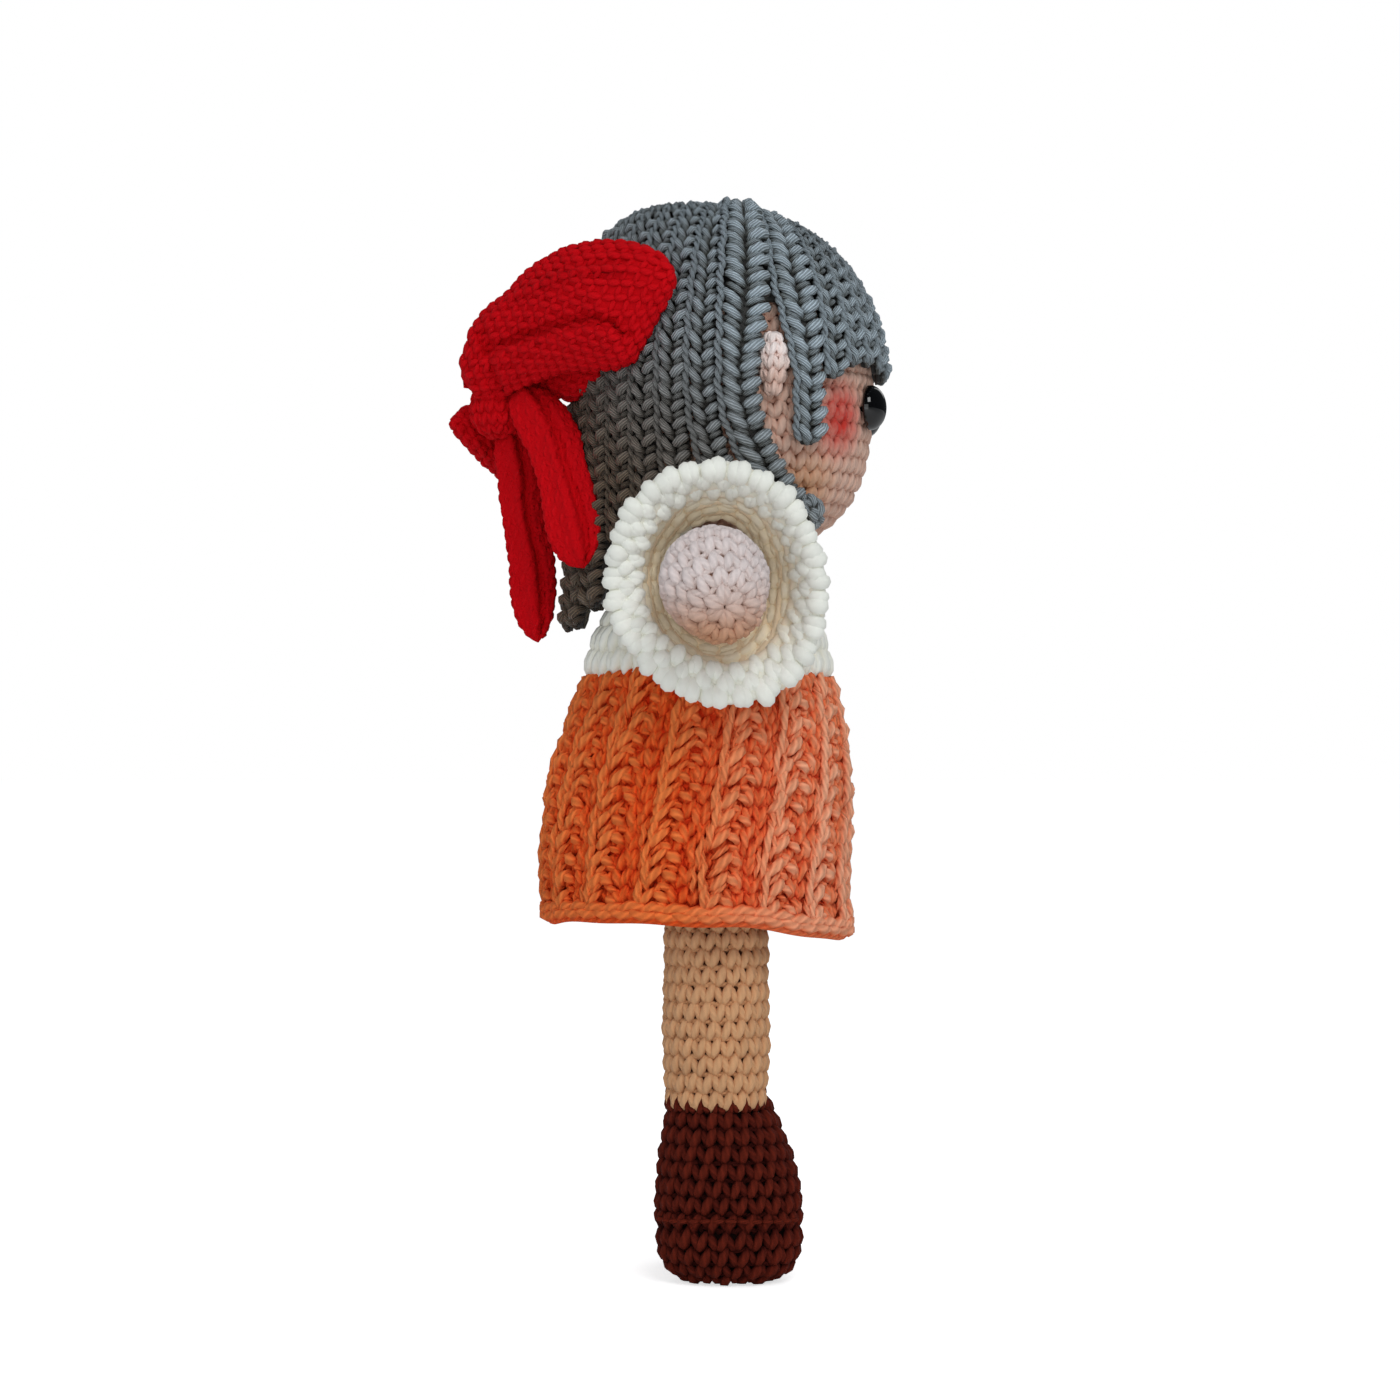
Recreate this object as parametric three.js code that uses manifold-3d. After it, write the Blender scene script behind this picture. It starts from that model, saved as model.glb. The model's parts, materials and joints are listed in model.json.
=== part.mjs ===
// A crocheted doll with a stuffed head, body and limbs, a yarn wig, a hair bow and a dress.
// Millimetres, +X the way the doll faces, +Z up, its right side at -Y.
import * as THREE from "three";
import { mergeVertices } from "three/addons/utils/BufferGeometryUtils.js";
import Module from "manifold-3d";

const wasm = await Module();
wasm.setup();

// Fabric and fit
const seatGap = 0.3; // between two pieces that touch
const stuffedWall = 2.4; // single crochet of the head, body and limbs
const dressWall = 3; // thicker yarn of the dress
const cutOverrun = 6; // how far a cut runs past what it cuts

// Legs and shoes
const legSpread = 15.5; // each leg's axis from the middle plane
const hipHeight = 100; // the hip's centre above the ground
const hipBallRadius = 14.8;
const calfRadius = 14.4;
const legOpening = 5; // hole at the top of a leg, where it is sewn on
const shoeHeight = 46;
const shoeLength = 39.2;
const shoeWidth = 29.6;
const soleEdgeHeight = 16; // where the shoe is widest
const soleCut = 0.5; // the flat under the shoe is cut this deep
const soleFullness = 3.2; // 2 is an ellipse, more is squarer
const toeReach = 3.4; // middle of the shoe, ahead of the leg
const ankleShiftShare = 0.2; // of the toe's reach, where the shoe meets the leg
const legBallStartShare = 0.93; // how far up the tube its last ring sits
const legOutlineShares = [[0, 0.935], [0.16, 0.97], [0.37, 1], [0.62, 0.975], [0.83, 0.965]];
const shoeUpperShares = [[0, 1], [0.14, 0.975], [0.3, 0.93], [0.5, 0.75], [0.72, 0.46], [1, 0]];

// Body
const bodyHeight = 94.7;
const bodyRadius = 31.2;
const bodyBack = 2; // the body's axis, behind the leg line
const neckForward = 2; // the neck's axis, ahead of the leg line
const neckRadius = 11;
const neckStartShare = 0.9; // of the body's height
const shoulderStartShare = 0.75;
const bodyOutlineShares = [
  [0, 0.8], [0.03, 0.9], [0.09, 0.96], [0.2, 0.985], [0.42, 1], [0.62, 0.995],
  [0.7, 0.965], [0.76, 0.91], [0.81, 0.85], [0.86, 0.755], [0.905, 0.645], [0.94, 0.52],
];

// Head
const headDown = 43; // from the middle of the ball to its bottom
const headUp = 42;
const headDepthRadius = 36.5;
const headWidthRadius = 41;
const headForward = 6; // the head's axis, ahead of the leg line
const jawFullness = 2.8;
const headOpening = 9; // hole at the neck, where the head is filled
const headSway = 0.9; // room beside the head as it turns

// Face
const eyeDiameter = 12;
const eyeDome = 4.2;
const eyeRim = 0.5;
const eyeDrop = 5.8; // eye centre below the middle of the head
const eyeTurnDegrees = 20; // degrees from the front, round the head
const shankDiameter = 4;
const shankLength = 9;
const washerDiameter = 12.5;
const washerThickness = 1.5;
const washerClearance = 0.25; // between the washer's hole and the shank
const earWidth = 6.2;
const earHeight = 16.8;
const earDepth = 5.4;
const earRise = 3.5; // ear centre above the middle of the head
const earForward = 8.6; // ear centre, ahead of the head's axis

// Hair
const capCrownWall = 2.4;
const capSlopeDegrees = 62; // degrees from the crown to the cap's rim
const strandSideLift = 0.8; // under a strand, from the head at its widest
const partingLength = 36;
const partingWidth = 11;
const strandThickness = 4.6;
const tallStrandThickness = 6.6;
const hairOverButton = 2.1; // between the back button and the strands that pass over it
const curlForward = 12; // how far the curled strands reach to the front
const curlInward = 5;
const strandFacets = 6;
const strandSectionShares = [[0, 0], [0.55, 0], [1, 0.24]]; // height and inset of one side
const strandTipShare = 0.6; // thickness and width of a strand's end
const earGapStartShare = 0.45; // of the way to the widest level, where strands part for the ear
const fringePitchDegrees = 11.2; // degrees round the head, as the next five
const lockEdgeDegrees = 77;
const earFrontDegrees = 71;
const earBackDegrees = 83;
const backStartDegrees = 98;
const backEdgeDegrees = 172;
const fringeEndShares = [0.036, 0.071, 0.095, 0.083, 0]; // of headUp, above the middle of the head
const lockDropShare = 0.41; // of headDown, below the middle of the head, as the next three
const curlDropShare = 0.72;
const backDropShares = [0.48, 0.5, 0.68, 0.86, 1.35, 1.48];
const middleDropShare = 1.52;

// Bow
const knotDepth = 16;
const knotWidth = 17;
const knotHeight = 16;
const knotReach = 64; // knot centre behind the head's axis
const knotDrop = 5; // knot centre below the middle of the head
const loopWidth = 38;
const loopThickness = 19;
const lowLoopWidth = 27;
const tailWidth = 10.5;
const tailThickness = 5;
// Along a loop or tail: the share of the way, of the width and of the thickness
const loopShares = [
  [0.03, 0.26, 0.5], [0.18, 0.52, 0.86], [0.38, 0.88, 1], [0.62, 1, 0.96], [0.85, 0.8, 0.68],
  [0.97, 0.4, 0.32],
];
const tailShares = [
  [0.02, 0.5, 0.7], [0.12, 0.85, 1], [0.4, 0.95, 1], [0.72, 1.1, 1], [0.88, 0.85, 0.85],
  [0.97, 0.36, 0.5],
];
// Places on each route, from the knot's centre in shares of its depth, width and height
const highRouteShares = [[0.25, -0.3, 0.3], [0.81, -1.08, 1.06], [1.75, -2.14, 1.44], [3, -2.7, 1.81]];
const lowRouteShares = [[0.1, 0.3, -0.1], [-0.25, 0.94, -0.56], [0.5, 1.88, -1], [1.62, 2.35, -1.3]];
const nearTailShares = [[0.22, -0.36, -0.26], [0.6, -1.05, -1.2], [1.3, -1.42, -2.75]];
const farTailShares = [[0.06, 0, -0.42], [0.1, 0, -1.8], [0.6, 0, -3.95]];

// Dress
const waistRise = 61; // where blouse and skirt meet, above the hips
const blouseDrop = 4.2; // blouse's upper edge, below the top of the neck
const hemDrop = 4.1; // skirt's lower edge, below the hips
const skirtRadius = 42;
const skirtShift = 5; // the hem's middle, behind the leg line
const ribCount = 28;
const ribHeight = 1.3;
const hemThickness = 3.8;
// Up the skirt: the share of its height, of its flare and of its shift to the back
const skirtOutlineShares = [
  [0, 1, 1], [0.14, 1.02, 1.25], [0.33, 1, 1.1], [0.56, 0.93, 0.8], [0.8, 0.5, 0.3], [1, 0, 0],
];

// Arms and sleeves
const shoulderSpread = 31.5;
const shoulderDrop = 6.7; // shoulders' centres, below the top of the neck
const shoulderBack = 0.7;
const shoulderBallRadius = 11;
const armLength = 53; // from the shoulder's centre to the tip
const armRadius = 13.9;
const armDroopDegrees = 6; // degrees below level
const armholeClearance = 1.8;
const armOutlineShares = [
  [0.1, 0.86], [0.25, 0.91], [0.45, 0.965], [0.66, 1], [0.8, 0.96], [0.91, 0.78], [0.975, 0.45],
];
const armOpening = 4;
const sleeveLength = 22; // from the shoulder's centre to the mouth
const sleeveRoot = 9; // from the shoulder's centre back towards the body
const sleeveMouthRadius = 27.4; // inside
const lobeCount = 22;
const lobeHeight = 2;
const sleeveOutlineShares = [[0.2, 0.14], [0.45, 0.38], [0.75, 0.72], [1, 1]];

// Back fastening
const buttonDiameter = 8.2;
const buttonThickness = 2.8;
const buttonDrop = 7.5; // button's centre, below the blouse's upper edge
const buttonTiltDegrees = 15; // degrees that the button looks up
const buttonStand = 3.4; // button's back to the body's fabric line
const buttonShank = 3;
const loopYarn = 2;
const loopHeight = 12;
const loopSpan = 6.6;

// How finely round things are faceted
const limbSides = 12;
const bodySides = 20;
const bodyLevels = 11;
const headLevels = 11;
const ballSides = 16;
const capLevels = 5;
const strandSteps = 6;
const hangingSteps = 2;
const skirtSides = 2 * ribCount;
const sleeveSides = 2 * lobeCount;

// Heights that follow from the sizes above
const bodyBottom = hipHeight;
const bodyTop = bodyBottom + bodyHeight;
const headBottom = bodyTop + seatGap;
const headMiddle = headBottom + headDown;
const blouseBottom = bodyBottom + waistRise;
const blouseTop = bodyTop - blouseDrop;
const skirtBottom = hipHeight - hemDrop;
const shoulderHeight = bodyTop - shoulderDrop;
const buttonHeight = blouseTop - buttonDrop;
const hairDepthRadius = headDepthRadius + strandSideLift;
const hairWidthRadius = headWidthRadius + strandSideLift;
const hairUp = headUp + capCrownWall + 2 * seatGap;

// Yarns and hard parts
const skin = matt("#d9a98c");
const paleSkin = matt("#e3c8be");
const legSkin = matt("#c79a72");
const hairYarn = matt("#666e70");
const bowYarn = matt("#b4101a");
const whiteYarn = matt("#ece8dc");
const orangeYarn = matt("#d9713c");
const brownYarn = matt("#421810");
const filling = matt("#f4f2ee");
const blackGloss = new THREE.MeshStandardMaterial({ color: "#080808", roughness: 0.08, metalness: 0 });
const washerPlastic = new THREE.MeshStandardMaterial({ color: "#d8d8d4", roughness: 0.4, metalness: 0 });

function matt(color) {
  return new THREE.MeshStandardMaterial({ color, roughness: 0.9, metalness: 0 });
}

function smooth(share) {
  const held = THREE.MathUtils.clamp(share, 0, 1);
  return held * held * (3 - 2 * held);
}

// Rises smoothly from 0 at a start to 1 at a share of 1.
const rampAbove = (start, share) => smooth((share - start) / (1 - start));

// A value read from a table of [place, value, ...] rows by a curve through them.
function along(rows, place, column = 1) {
  const last = rows.length - 1;
  const next = rows.findIndex((row) => row[0] >= place);
  if (next === 0) return rows[0][column];
  if (next < 0) return rows[last][column];
  const span = rows[next][0] - rows[next - 1][0];
  const slope = (k) => {
    const low = Math.max(k - 1, 0);
    const high = Math.min(k + 1, last);
    return (rows[high][column] - rows[low][column]) / (rows[high][0] - rows[low][0]);
  };
  const t = (place - rows[next - 1][0]) / span;
  const ease = t * t * (3 - 2 * t);
  const bend = span * t * (1 - t) * (slope(next - 1) * (1 - t) - slope(next) * t);
  return rows[next - 1][column] * (1 - ease) + rows[next][column] * ease + bend;
}

// A level ring of points round (x, y, z), counter-clockwise from above; ripple scales the radius.
function ring({ x = 0, y = 0, z, rx, ry = rx }, sides, ripple = () => 1) {
  return Array.from({ length: sides }, (_, k) => {
    const turn = (2 * Math.PI * k) / sides;
    const grow = ripple(k);
    return new THREE.Vector3(x + rx * grow * Math.cos(turn), y + ry * grow * Math.sin(turn), z);
  });
}

const pole = ({ x = 0, y = 0, z }) => [new THREE.Vector3(x, y, z)];

// One closed surface through rings of points. A ring of one point closes an end, and a looped skin
// joins its last ring to its first. Rings that run up the outside and down the inside face out.
function skinOf(rings, looped = false) {
  const starts = [];
  let count = 0;
  for (const points of rings) {
    starts.push(count);
    count += points.length;
  }
  const faces = [];
  const joins = looped ? rings.length : rings.length - 1;
  for (let low = 0; low < joins; low++) {
    const high = (low + 1) % rings.length;
    const sides = Math.max(rings[low].length, rings[high].length);
    const at = (which, k) => starts[which] + (rings[which].length > 1 ? k % sides : 0);
    for (let k = 0; k < sides; k++) {
      if (rings[low].length > 1) faces.push(at(low, k), at(low, k + 1), at(high, k));
      if (rings[high].length > 1) faces.push(at(low, k + 1), at(high, k + 1), at(high, k));
    }
  }
  return new THREE.BufferGeometry().setFromPoints(rings.flat()).setIndex(faces);
}

function solidFrom(geometry) {
  const bare = geometry.clone();
  bare.deleteAttribute("normal");
  bare.deleteAttribute("uv");
  const merged = mergeVertices(bare, seatGap / 1000);
  const triVerts = new Uint32Array(merged.index.array);
  return new wasm.Manifold(
    new wasm.Mesh({ numProp: 3, vertProperties: merged.attributes.position.array, triVerts }),
  );
}

// The geometry that is left of a body once others are taken from it.
function cut(body, ...cutters) {
  const rest = cutters.reduce((held, cutter) => held.subtract(solidFrom(cutter)), solidFrom(body));
  const mesh = rest.getMesh();
  const geometry = new THREE.BufferGeometry();
  geometry.setAttribute("position", new THREE.BufferAttribute(mesh.vertProperties, mesh.numProp));
  return geometry.setIndex(new THREE.BufferAttribute(mesh.triVerts, 1));
}

// The room that a limb's ball needs to turn in, faceted as it is.
function socketFor(radius, x, y, z) {
  const room = (radius + seatGap) / Math.cos(Math.PI / ballSides) ** 2;
  return new THREE.SphereGeometry(room, ballSides, limbSides).translate(x, y, z);
}

// The geometry and its mirror image in the middle plane.
function bothSides(geometry) {
  const copy = geometry.clone().scale(1, -1, 1);
  const order = copy.index.array;
  for (let k = 0; k < order.length; k += 3) {
    [order[k + 1], order[k + 2]] = [order[k + 2], order[k + 1]];
  }
  return [geometry, copy];
}

// Places what is made along +Y from a shoulder's centre at the right shoulder.
function atShoulder(geometry) {
  return geometry
    .rotateX(-THREE.MathUtils.degToRad(armDroopDegrees))
    .rotateZ(Math.PI)
    .translate(-shoulderBack, -shoulderSpread, shoulderHeight);
}

const doll = new THREE.Group();
const rightSide = new THREE.Group();
const leftSide = new THREE.Group();
leftSide.scale.y = -1;
doll.add(rightSide, leftSide);

function add(name, geometry, material, group = doll) {
  const mesh = new THREE.Mesh(geometry, material);
  mesh.name = name;
  group.add(mesh);
  return mesh;
}

function addPair(name, geometry, material) {
  add(`${name}_right`, geometry, material, rightSide);
  add(`${name}_left`, geometry, material, leftSide);
}

// Body: a pear that narrows to the neck. Its surface is straight between a few levels, which all its
// layers share, so that they nest.
function bodyAt(z) {
  const level = (bodyLevels * (z - bodyBottom)) / (bodyTop - bodyBottom);
  const at = (share) => {
    const waist = bodyRadius * along(bodyOutlineShares, share);
    return {
      x: THREE.MathUtils.lerp(-bodyBack, neckForward, rampAbove(shoulderStartShare, share)),
      radius: THREE.MathUtils.lerp(waist, neckRadius, rampAbove(neckStartShare, share)),
    };
  };
  const low = at(Math.floor(level) / bodyLevels);
  const high = at(Math.ceil(level) / bodyLevels);
  const part = level - Math.floor(level);
  const between = (key) => THREE.MathUtils.lerp(low[key], high[key], part);
  return { x: between("x"), radius: between("radius") };
}

function bodyRings(inset, low, high, sides = bodySides) {
  const step = (bodyTop - bodyBottom) / bodyLevels;
  const grid = Array.from({ length: bodyLevels }, (_, k) => bodyBottom + step * k);
  const levels = [low, ...grid.filter((z) => z > low + seatGap && z < high - seatGap), high];
  return levels.map((z) => {
    const { x, radius } = bodyAt(z);
    return ring({ x, z, rx: radius - inset }, sides);
  });
}

function makeBody() {
  const hips = bothSides(socketFor(hipBallRadius, 0, -legSpread, hipHeight));
  const shoulders = bothSides(
    socketFor(shoulderBallRadius, -shoulderBack, -shoulderSpread, shoulderHeight),
  );
  const floor = bodyBottom + stuffedWall;
  const outer = bodyRings(0, bodyBottom, bodyTop);
  const inner = bodyRings(stuffedWall, floor, bodyTop).reverse();
  const cover = skinOf([pole({ z: bodyBottom }), ...outer, ...inner, pole({ z: floor })]);
  add("body_cover", cut(cover, ...hips, ...shoulders), skin);
  const core = bodyRings(stuffedWall + 2 * seatGap, floor + seatGap, bodyTop - seatGap, limbSides);
  const stuffing = skinOf([
    pole({ z: floor + seatGap }),
    ...core,
    pole({ x: neckForward, z: bodyTop - seatGap }),
  ]);
  add("body_stuffing", cut(stuffing, ...hips), filling);
}

// Head: a ball that is an ellipse above its middle and squarer below, inset from its surface
function headBall(inset) {
  const rings = Array.from({ length: headLevels - 1 }, (_, k) => {
    const slope = Math.PI * ((k + 1) / headLevels - 0.5);
    const below = slope < 0;
    const fullness = below ? jawFullness : 2;
    const width = Math.cos(slope) ** (2 / fullness);
    const height = Math.abs(Math.sin(slope)) ** (2 / fullness);
    const z = headMiddle + (below ? inset - headDown : headUp - inset) * height;
    const rx = (headDepthRadius - inset) * width;
    const ry = (headWidthRadius - inset) * width;
    return ring({ x: headForward, z, rx, ry }, bodySides);
  });
  const bottom = pole({ x: headForward, z: headBottom + inset });
  return skinOf([bottom, ...rings, pole({ x: headForward, z: headMiddle + headUp - inset })]);
}

// The eye's place on the head and the way that it looks, as a matrix for what is made along +Y.
function eyeFrame() {
  const turn = THREE.MathUtils.degToRad(eyeTurnDegrees);
  const level = (1 - (eyeDrop / headDown) ** jawFullness) ** (1 / jawFullness);
  const place = new THREE.Vector3(
    headForward + headDepthRadius * level * Math.cos(turn),
    -headWidthRadius * level * Math.sin(turn),
    headMiddle - eyeDrop,
  );
  const out = new THREE.Vector3(Math.cos(turn) / headDepthRadius, -Math.sin(turn) / headWidthRadius, 0);
  const spin = new THREE.Quaternion().setFromUnitVectors(new THREE.Vector3(0, 1, 0), out.normalize());
  return new THREE.Matrix4().compose(place, spin, new THREE.Vector3(1, 1, 1));
}

// A turned piece about +Y from a profile of [radius, height] that starts and ends on the axis.
function turned(profile, sides = 12) {
  return new THREE.LatheGeometry(profile.map(([r, h]) => new THREE.Vector2(r, h)), sides);
}

function dome(radius, height, low, steps = 5) {
  return Array.from({ length: steps + 1 }, (_, k) => {
    const slope = (Math.PI / 2) * (k / steps);
    return [radius * Math.cos(slope), low + height * Math.sin(slope)];
  });
}

function makeFace() {
  const frame = eyeFrame();
  const radius = eyeDiameter / 2;
  const shank = shankDiameter / 2;
  const eye = turned([
    [0, -shankLength], [shank, -shankLength], [shank, seatGap], [radius, seatGap],
    ...dome(radius, eyeDome, seatGap + eyeRim),
  ]);
  addPair("eye", eye.applyMatrix4(frame), blackGloss);
  const washerHole = shank + washerClearance;
  const curve = (washerDiameter / 2) ** 2 / (2 * headDepthRadius);
  const washerTop = -(stuffedWall + curve + 2 * seatGap);
  const washerBack = washerTop - washerThickness;
  const washer = turned([
    [washerHole, washerBack], [washerDiameter / 2, washerBack], [washerDiameter / 2, washerTop],
    [washerHole, washerTop], [washerHole, washerBack],
  ]);
  addPair("eye_washer", washer.applyMatrix4(frame), washerPlastic);
  const hole = turned([
    [0, -shankLength - seatGap], [shank + seatGap, -shankLength - seatGap],
    [shank + seatGap, cutOverrun], [0, cutOverrun],
  ]).applyMatrix4(frame);
  const pocketRadius = washerDiameter / 2 + seatGap;
  const pocket = turned([
    [0, -shankLength - seatGap], [pocketRadius, -shankLength - seatGap],
    [pocketRadius, cutOverrun], [0, cutOverrun],
  ]).applyMatrix4(frame);

  const neckHole = new THREE.CylinderGeometry(headOpening, headOpening, 2 * cutOverrun, ballSides)
    .rotateX(Math.PI / 2)
    .translate(headForward, 0, headBottom);
  const cover = cut(headBall(0), headBall(stuffedWall), neckHole, ...bothSides(hole));
  add("head_cover", cover, skin);
  add("head_stuffing", cut(headBall(stuffedWall + seatGap), ...bothSides(pocket)), filling);

  const ear = new THREE.SphereGeometry(1, 10, 8)
    .scale(earWidth / 2, earDepth / 2, earHeight / 2)
    .translate(headForward + earForward, -earSide(), headMiddle + earRise);
  addPair("ear", cut(ear, headBall(-seatGap)), paleSkin);
}

// How far the ear's middle is from the middle plane, so that its inner half meets the head.
function earSide() {
  const forward = earForward / headDepthRadius;
  const up = earRise / headUp;
  return headWidthRadius * Math.sqrt(1 - forward ** 2 - up ** 2) + earDepth / 4;
}

// A point on the surface that strands lie on, for a strand at an angle from the front. Down the head
// it leaves the short parting and fans out; lift raises it along the surface's normal.
function hairPoint(slope, angle, lift) {
  const spread = Math.sin(slope);
  const start = 1 - spread;
  const size = new THREE.Vector3(hairDepthRadius, hairWidthRadius, hairUp);
  const way = new THREE.Vector3(
    Math.cos(angle) * ((partingLength / 2 / size.x) * start + spread),
    -Math.sin(angle) * ((partingWidth / 2 / size.y) * start + spread),
    Math.cos(slope),
  ).normalize();
  const normal = way.clone().divide(size).normalize();
  const centre = new THREE.Vector3(headForward, 0, headMiddle);
  return way.multiply(size).addScaledVector(normal, lift).add(centre);
}

// A strand between two angles, in degrees from the front: its edges at the crown and low on the head,
// the height of its end, and how its hanging part drifts.
function strandOf({ from, to, lowFrom = from, lowTo = to, end, thickness = strandThickness, drift }) {
  const reach = Math.acos(THREE.MathUtils.clamp((end - headMiddle) / hairUp, 0, 1));
  const hang = Math.max(headMiddle - end, 0);
  const last = strandSteps + (hang ? hangingSteps : 0);
  const rings = [];
  for (let k = 0; k <= last; k++) {
    const slope = (reach * Math.min(k, strandSteps)) / strandSteps;
    const low = smooth(slope / (Math.PI / 2) / earGapStartShare - 1);
    const left = THREE.MathUtils.degToRad(THREE.MathUtils.lerp(from, lowFrom, low));
    const right = THREE.MathUtils.degToRad(THREE.MathUtils.lerp(to, lowTo, low));
    const sag = Math.max(k - strandSteps, 0) / hangingSteps;
    const tip = k === last ? strandTipShare : 1;
    const width = hairPoint(slope, left, 0).distanceTo(hairPoint(slope, right, 0));
    const clear = width ** 2 / (8 * headDepthRadius);
    const side = (near, far) =>
      strandSectionShares.map(([rise, inward]) => {
        const lift = clear + rise * thickness * tip;
        const here = hairPoint(slope, near, lift);
        const across = hairPoint(slope, far, lift).sub(here);
        const inset = seatGap / 2 / across.length() + inward + (1 - tip) / 2;
        return here.addScaledVector(across, inset);
      });
    const points = [...side(left, right), ...side(right, left).reverse()];
    const fall = new THREE.Vector3(0, 0, -hang * sag);
    if (drift) fall.addScaledVector(drift, sag * sag);
    rings.push(points.map((point) => point.add(fall)));
  }
  const middle = (points) =>
    points.reduce((sum, point) => sum.add(point), new THREE.Vector3()).divideScalar(strandFacets);
  return skinOf([[middle(rings[0])], ...rings, [middle(rings.at(-1))]]);
}

// How far the longest strands stand off at their ends to pass over the back button.
function backDrift() {
  const face = buttonSeat() - buttonStand - buttonThickness;
  const straight = headForward - hairDepthRadius;
  const sag = (headMiddle - buttonHeight) / (headDown * middleDropShare);
  return Math.max(straight - face + hairOverButton, 0) / sag ** 2;
}

function makeHair() {
  const rim = THREE.MathUtils.degToRad(capSlopeDegrees);
  const capRings = (depth, width, up) =>
    Array.from({ length: capLevels }, (_, k) => {
      const slope = rim * (1 - k / capLevels);
      const share = Math.sin(slope);
      const z = headMiddle + up * Math.cos(slope);
      return ring({ x: headForward, z, rx: depth * share, ry: width * share }, bodySides);
    });
  const under = [headDepthRadius + seatGap, headWidthRadius + seatGap, headUp + seatGap];
  const over = [hairDepthRadius, hairWidthRadius, hairUp].map((size) => size - seatGap);
  const cap = skinOf([
    pole({ x: headForward, z: headMiddle + under[2] }),
    ...capRings(...under).reverse(),
    ...capRings(...over),
    pole({ x: headForward, z: headMiddle + over[2] }),
  ]);
  add("hair_cap", cap, hairYarn);

  fringeEndShares.forEach((rise, k) => {
    const end = headMiddle + headUp * rise;
    const strand = strandOf({ from: k * fringePitchDegrees, to: (k + 1) * fringePitchDegrees, end });
    addPair(`fringe_strand_${k + 1}`, strand, hairYarn);
  });
  const sideLock = strandOf({
    from: fringeEndShares.length * fringePitchDegrees,
    to: lockEdgeDegrees,
    lowTo: earFrontDegrees,
    end: headMiddle - headDown * lockDropShare,
  });
  addPair("side_lock", sideLock, hairYarn);
  const curl = strandOf({
    from: lockEdgeDegrees,
    lowFrom: earBackDegrees,
    to: backStartDegrees,
    end: headMiddle - headDown * curlDropShare,
    thickness: tallStrandThickness,
    drift: new THREE.Vector3(curlForward, curlInward, 0),
  });
  addPair("curled_strand", curl, hairYarn);
  const backPitch = (backEdgeDegrees - backStartDegrees) / backDropShares.length;
  const standOff = new THREE.Vector3(-backDrift(), 0, 0);
  backDropShares.forEach((drop, k) => {
    const from = backStartDegrees + k * backPitch;
    const end = headMiddle - headDown * drop;
    const drift = drop > 1 ? standOff : undefined;
    addPair(`back_strand_${k + 1}`, strandOf({ from, to: from + backPitch, end, drift }), hairYarn);
  });
  const end = headMiddle - headDown * middleDropShare;
  const middleStrand = strandOf({ from: backEdgeDegrees, to: 360 - backEdgeDegrees, end, drift: standOff });
  add("back_strand_middle", middleStrand, hairYarn);
}

// The room that the hair takes up, which the bow's loops lie against.
function hairRoom() {
  const lift = strandThickness + seatGap;
  const size = { x: headForward, rx: hairDepthRadius + lift, ry: hairWidthRadius + lift };
  const up = hairUp + lift;
  const steps = 12;
  const rings = [ring({ ...size, z: headBottom }, 2 * bodySides)];
  for (let k = 0; k < steps; k++) {
    const slope = ((Math.PI / 2) * k) / steps;
    const share = Math.cos(slope);
    const z = headMiddle + up * Math.sin(slope);
    rings.push(ring({ x: size.x, z, rx: size.rx * share, ry: size.ry * share }, 2 * bodySides));
  }
  const ends = [pole({ x: headForward, z: headBottom }), pole({ x: headForward, z: headMiddle + up })];
  return skinOf([ends[0], ...rings, ends[1]]);
}

// A soft flat band along a curve: rows give the share of the way, of the width and of the thickness.
// facing is the way that its broad side looks.
function bandOf(route, rows, width, thickness, facing, sides) {
  const rings = rows.map(([way, widthShare, thicknessShare]) => {
    const middle = route.getPointAt(way);
    const ahead = route.getTangentAt(way);
    const across = new THREE.Vector3().crossVectors(ahead, facing).normalize();
    const out = new THREE.Vector3().crossVectors(across, ahead).normalize();
    return Array.from({ length: sides }, (_, k) => {
      const turn = (2 * Math.PI * k) / sides;
      return middle
        .clone()
        .addScaledVector(out, (thickness / 2) * thicknessShare * Math.cos(turn))
        .addScaledVector(across, (width / 2) * widthShare * Math.sin(turn));
    });
  });
  return skinOf([[route.getPointAt(0)], ...rings, [route.getPointAt(1)]]);
}

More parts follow.
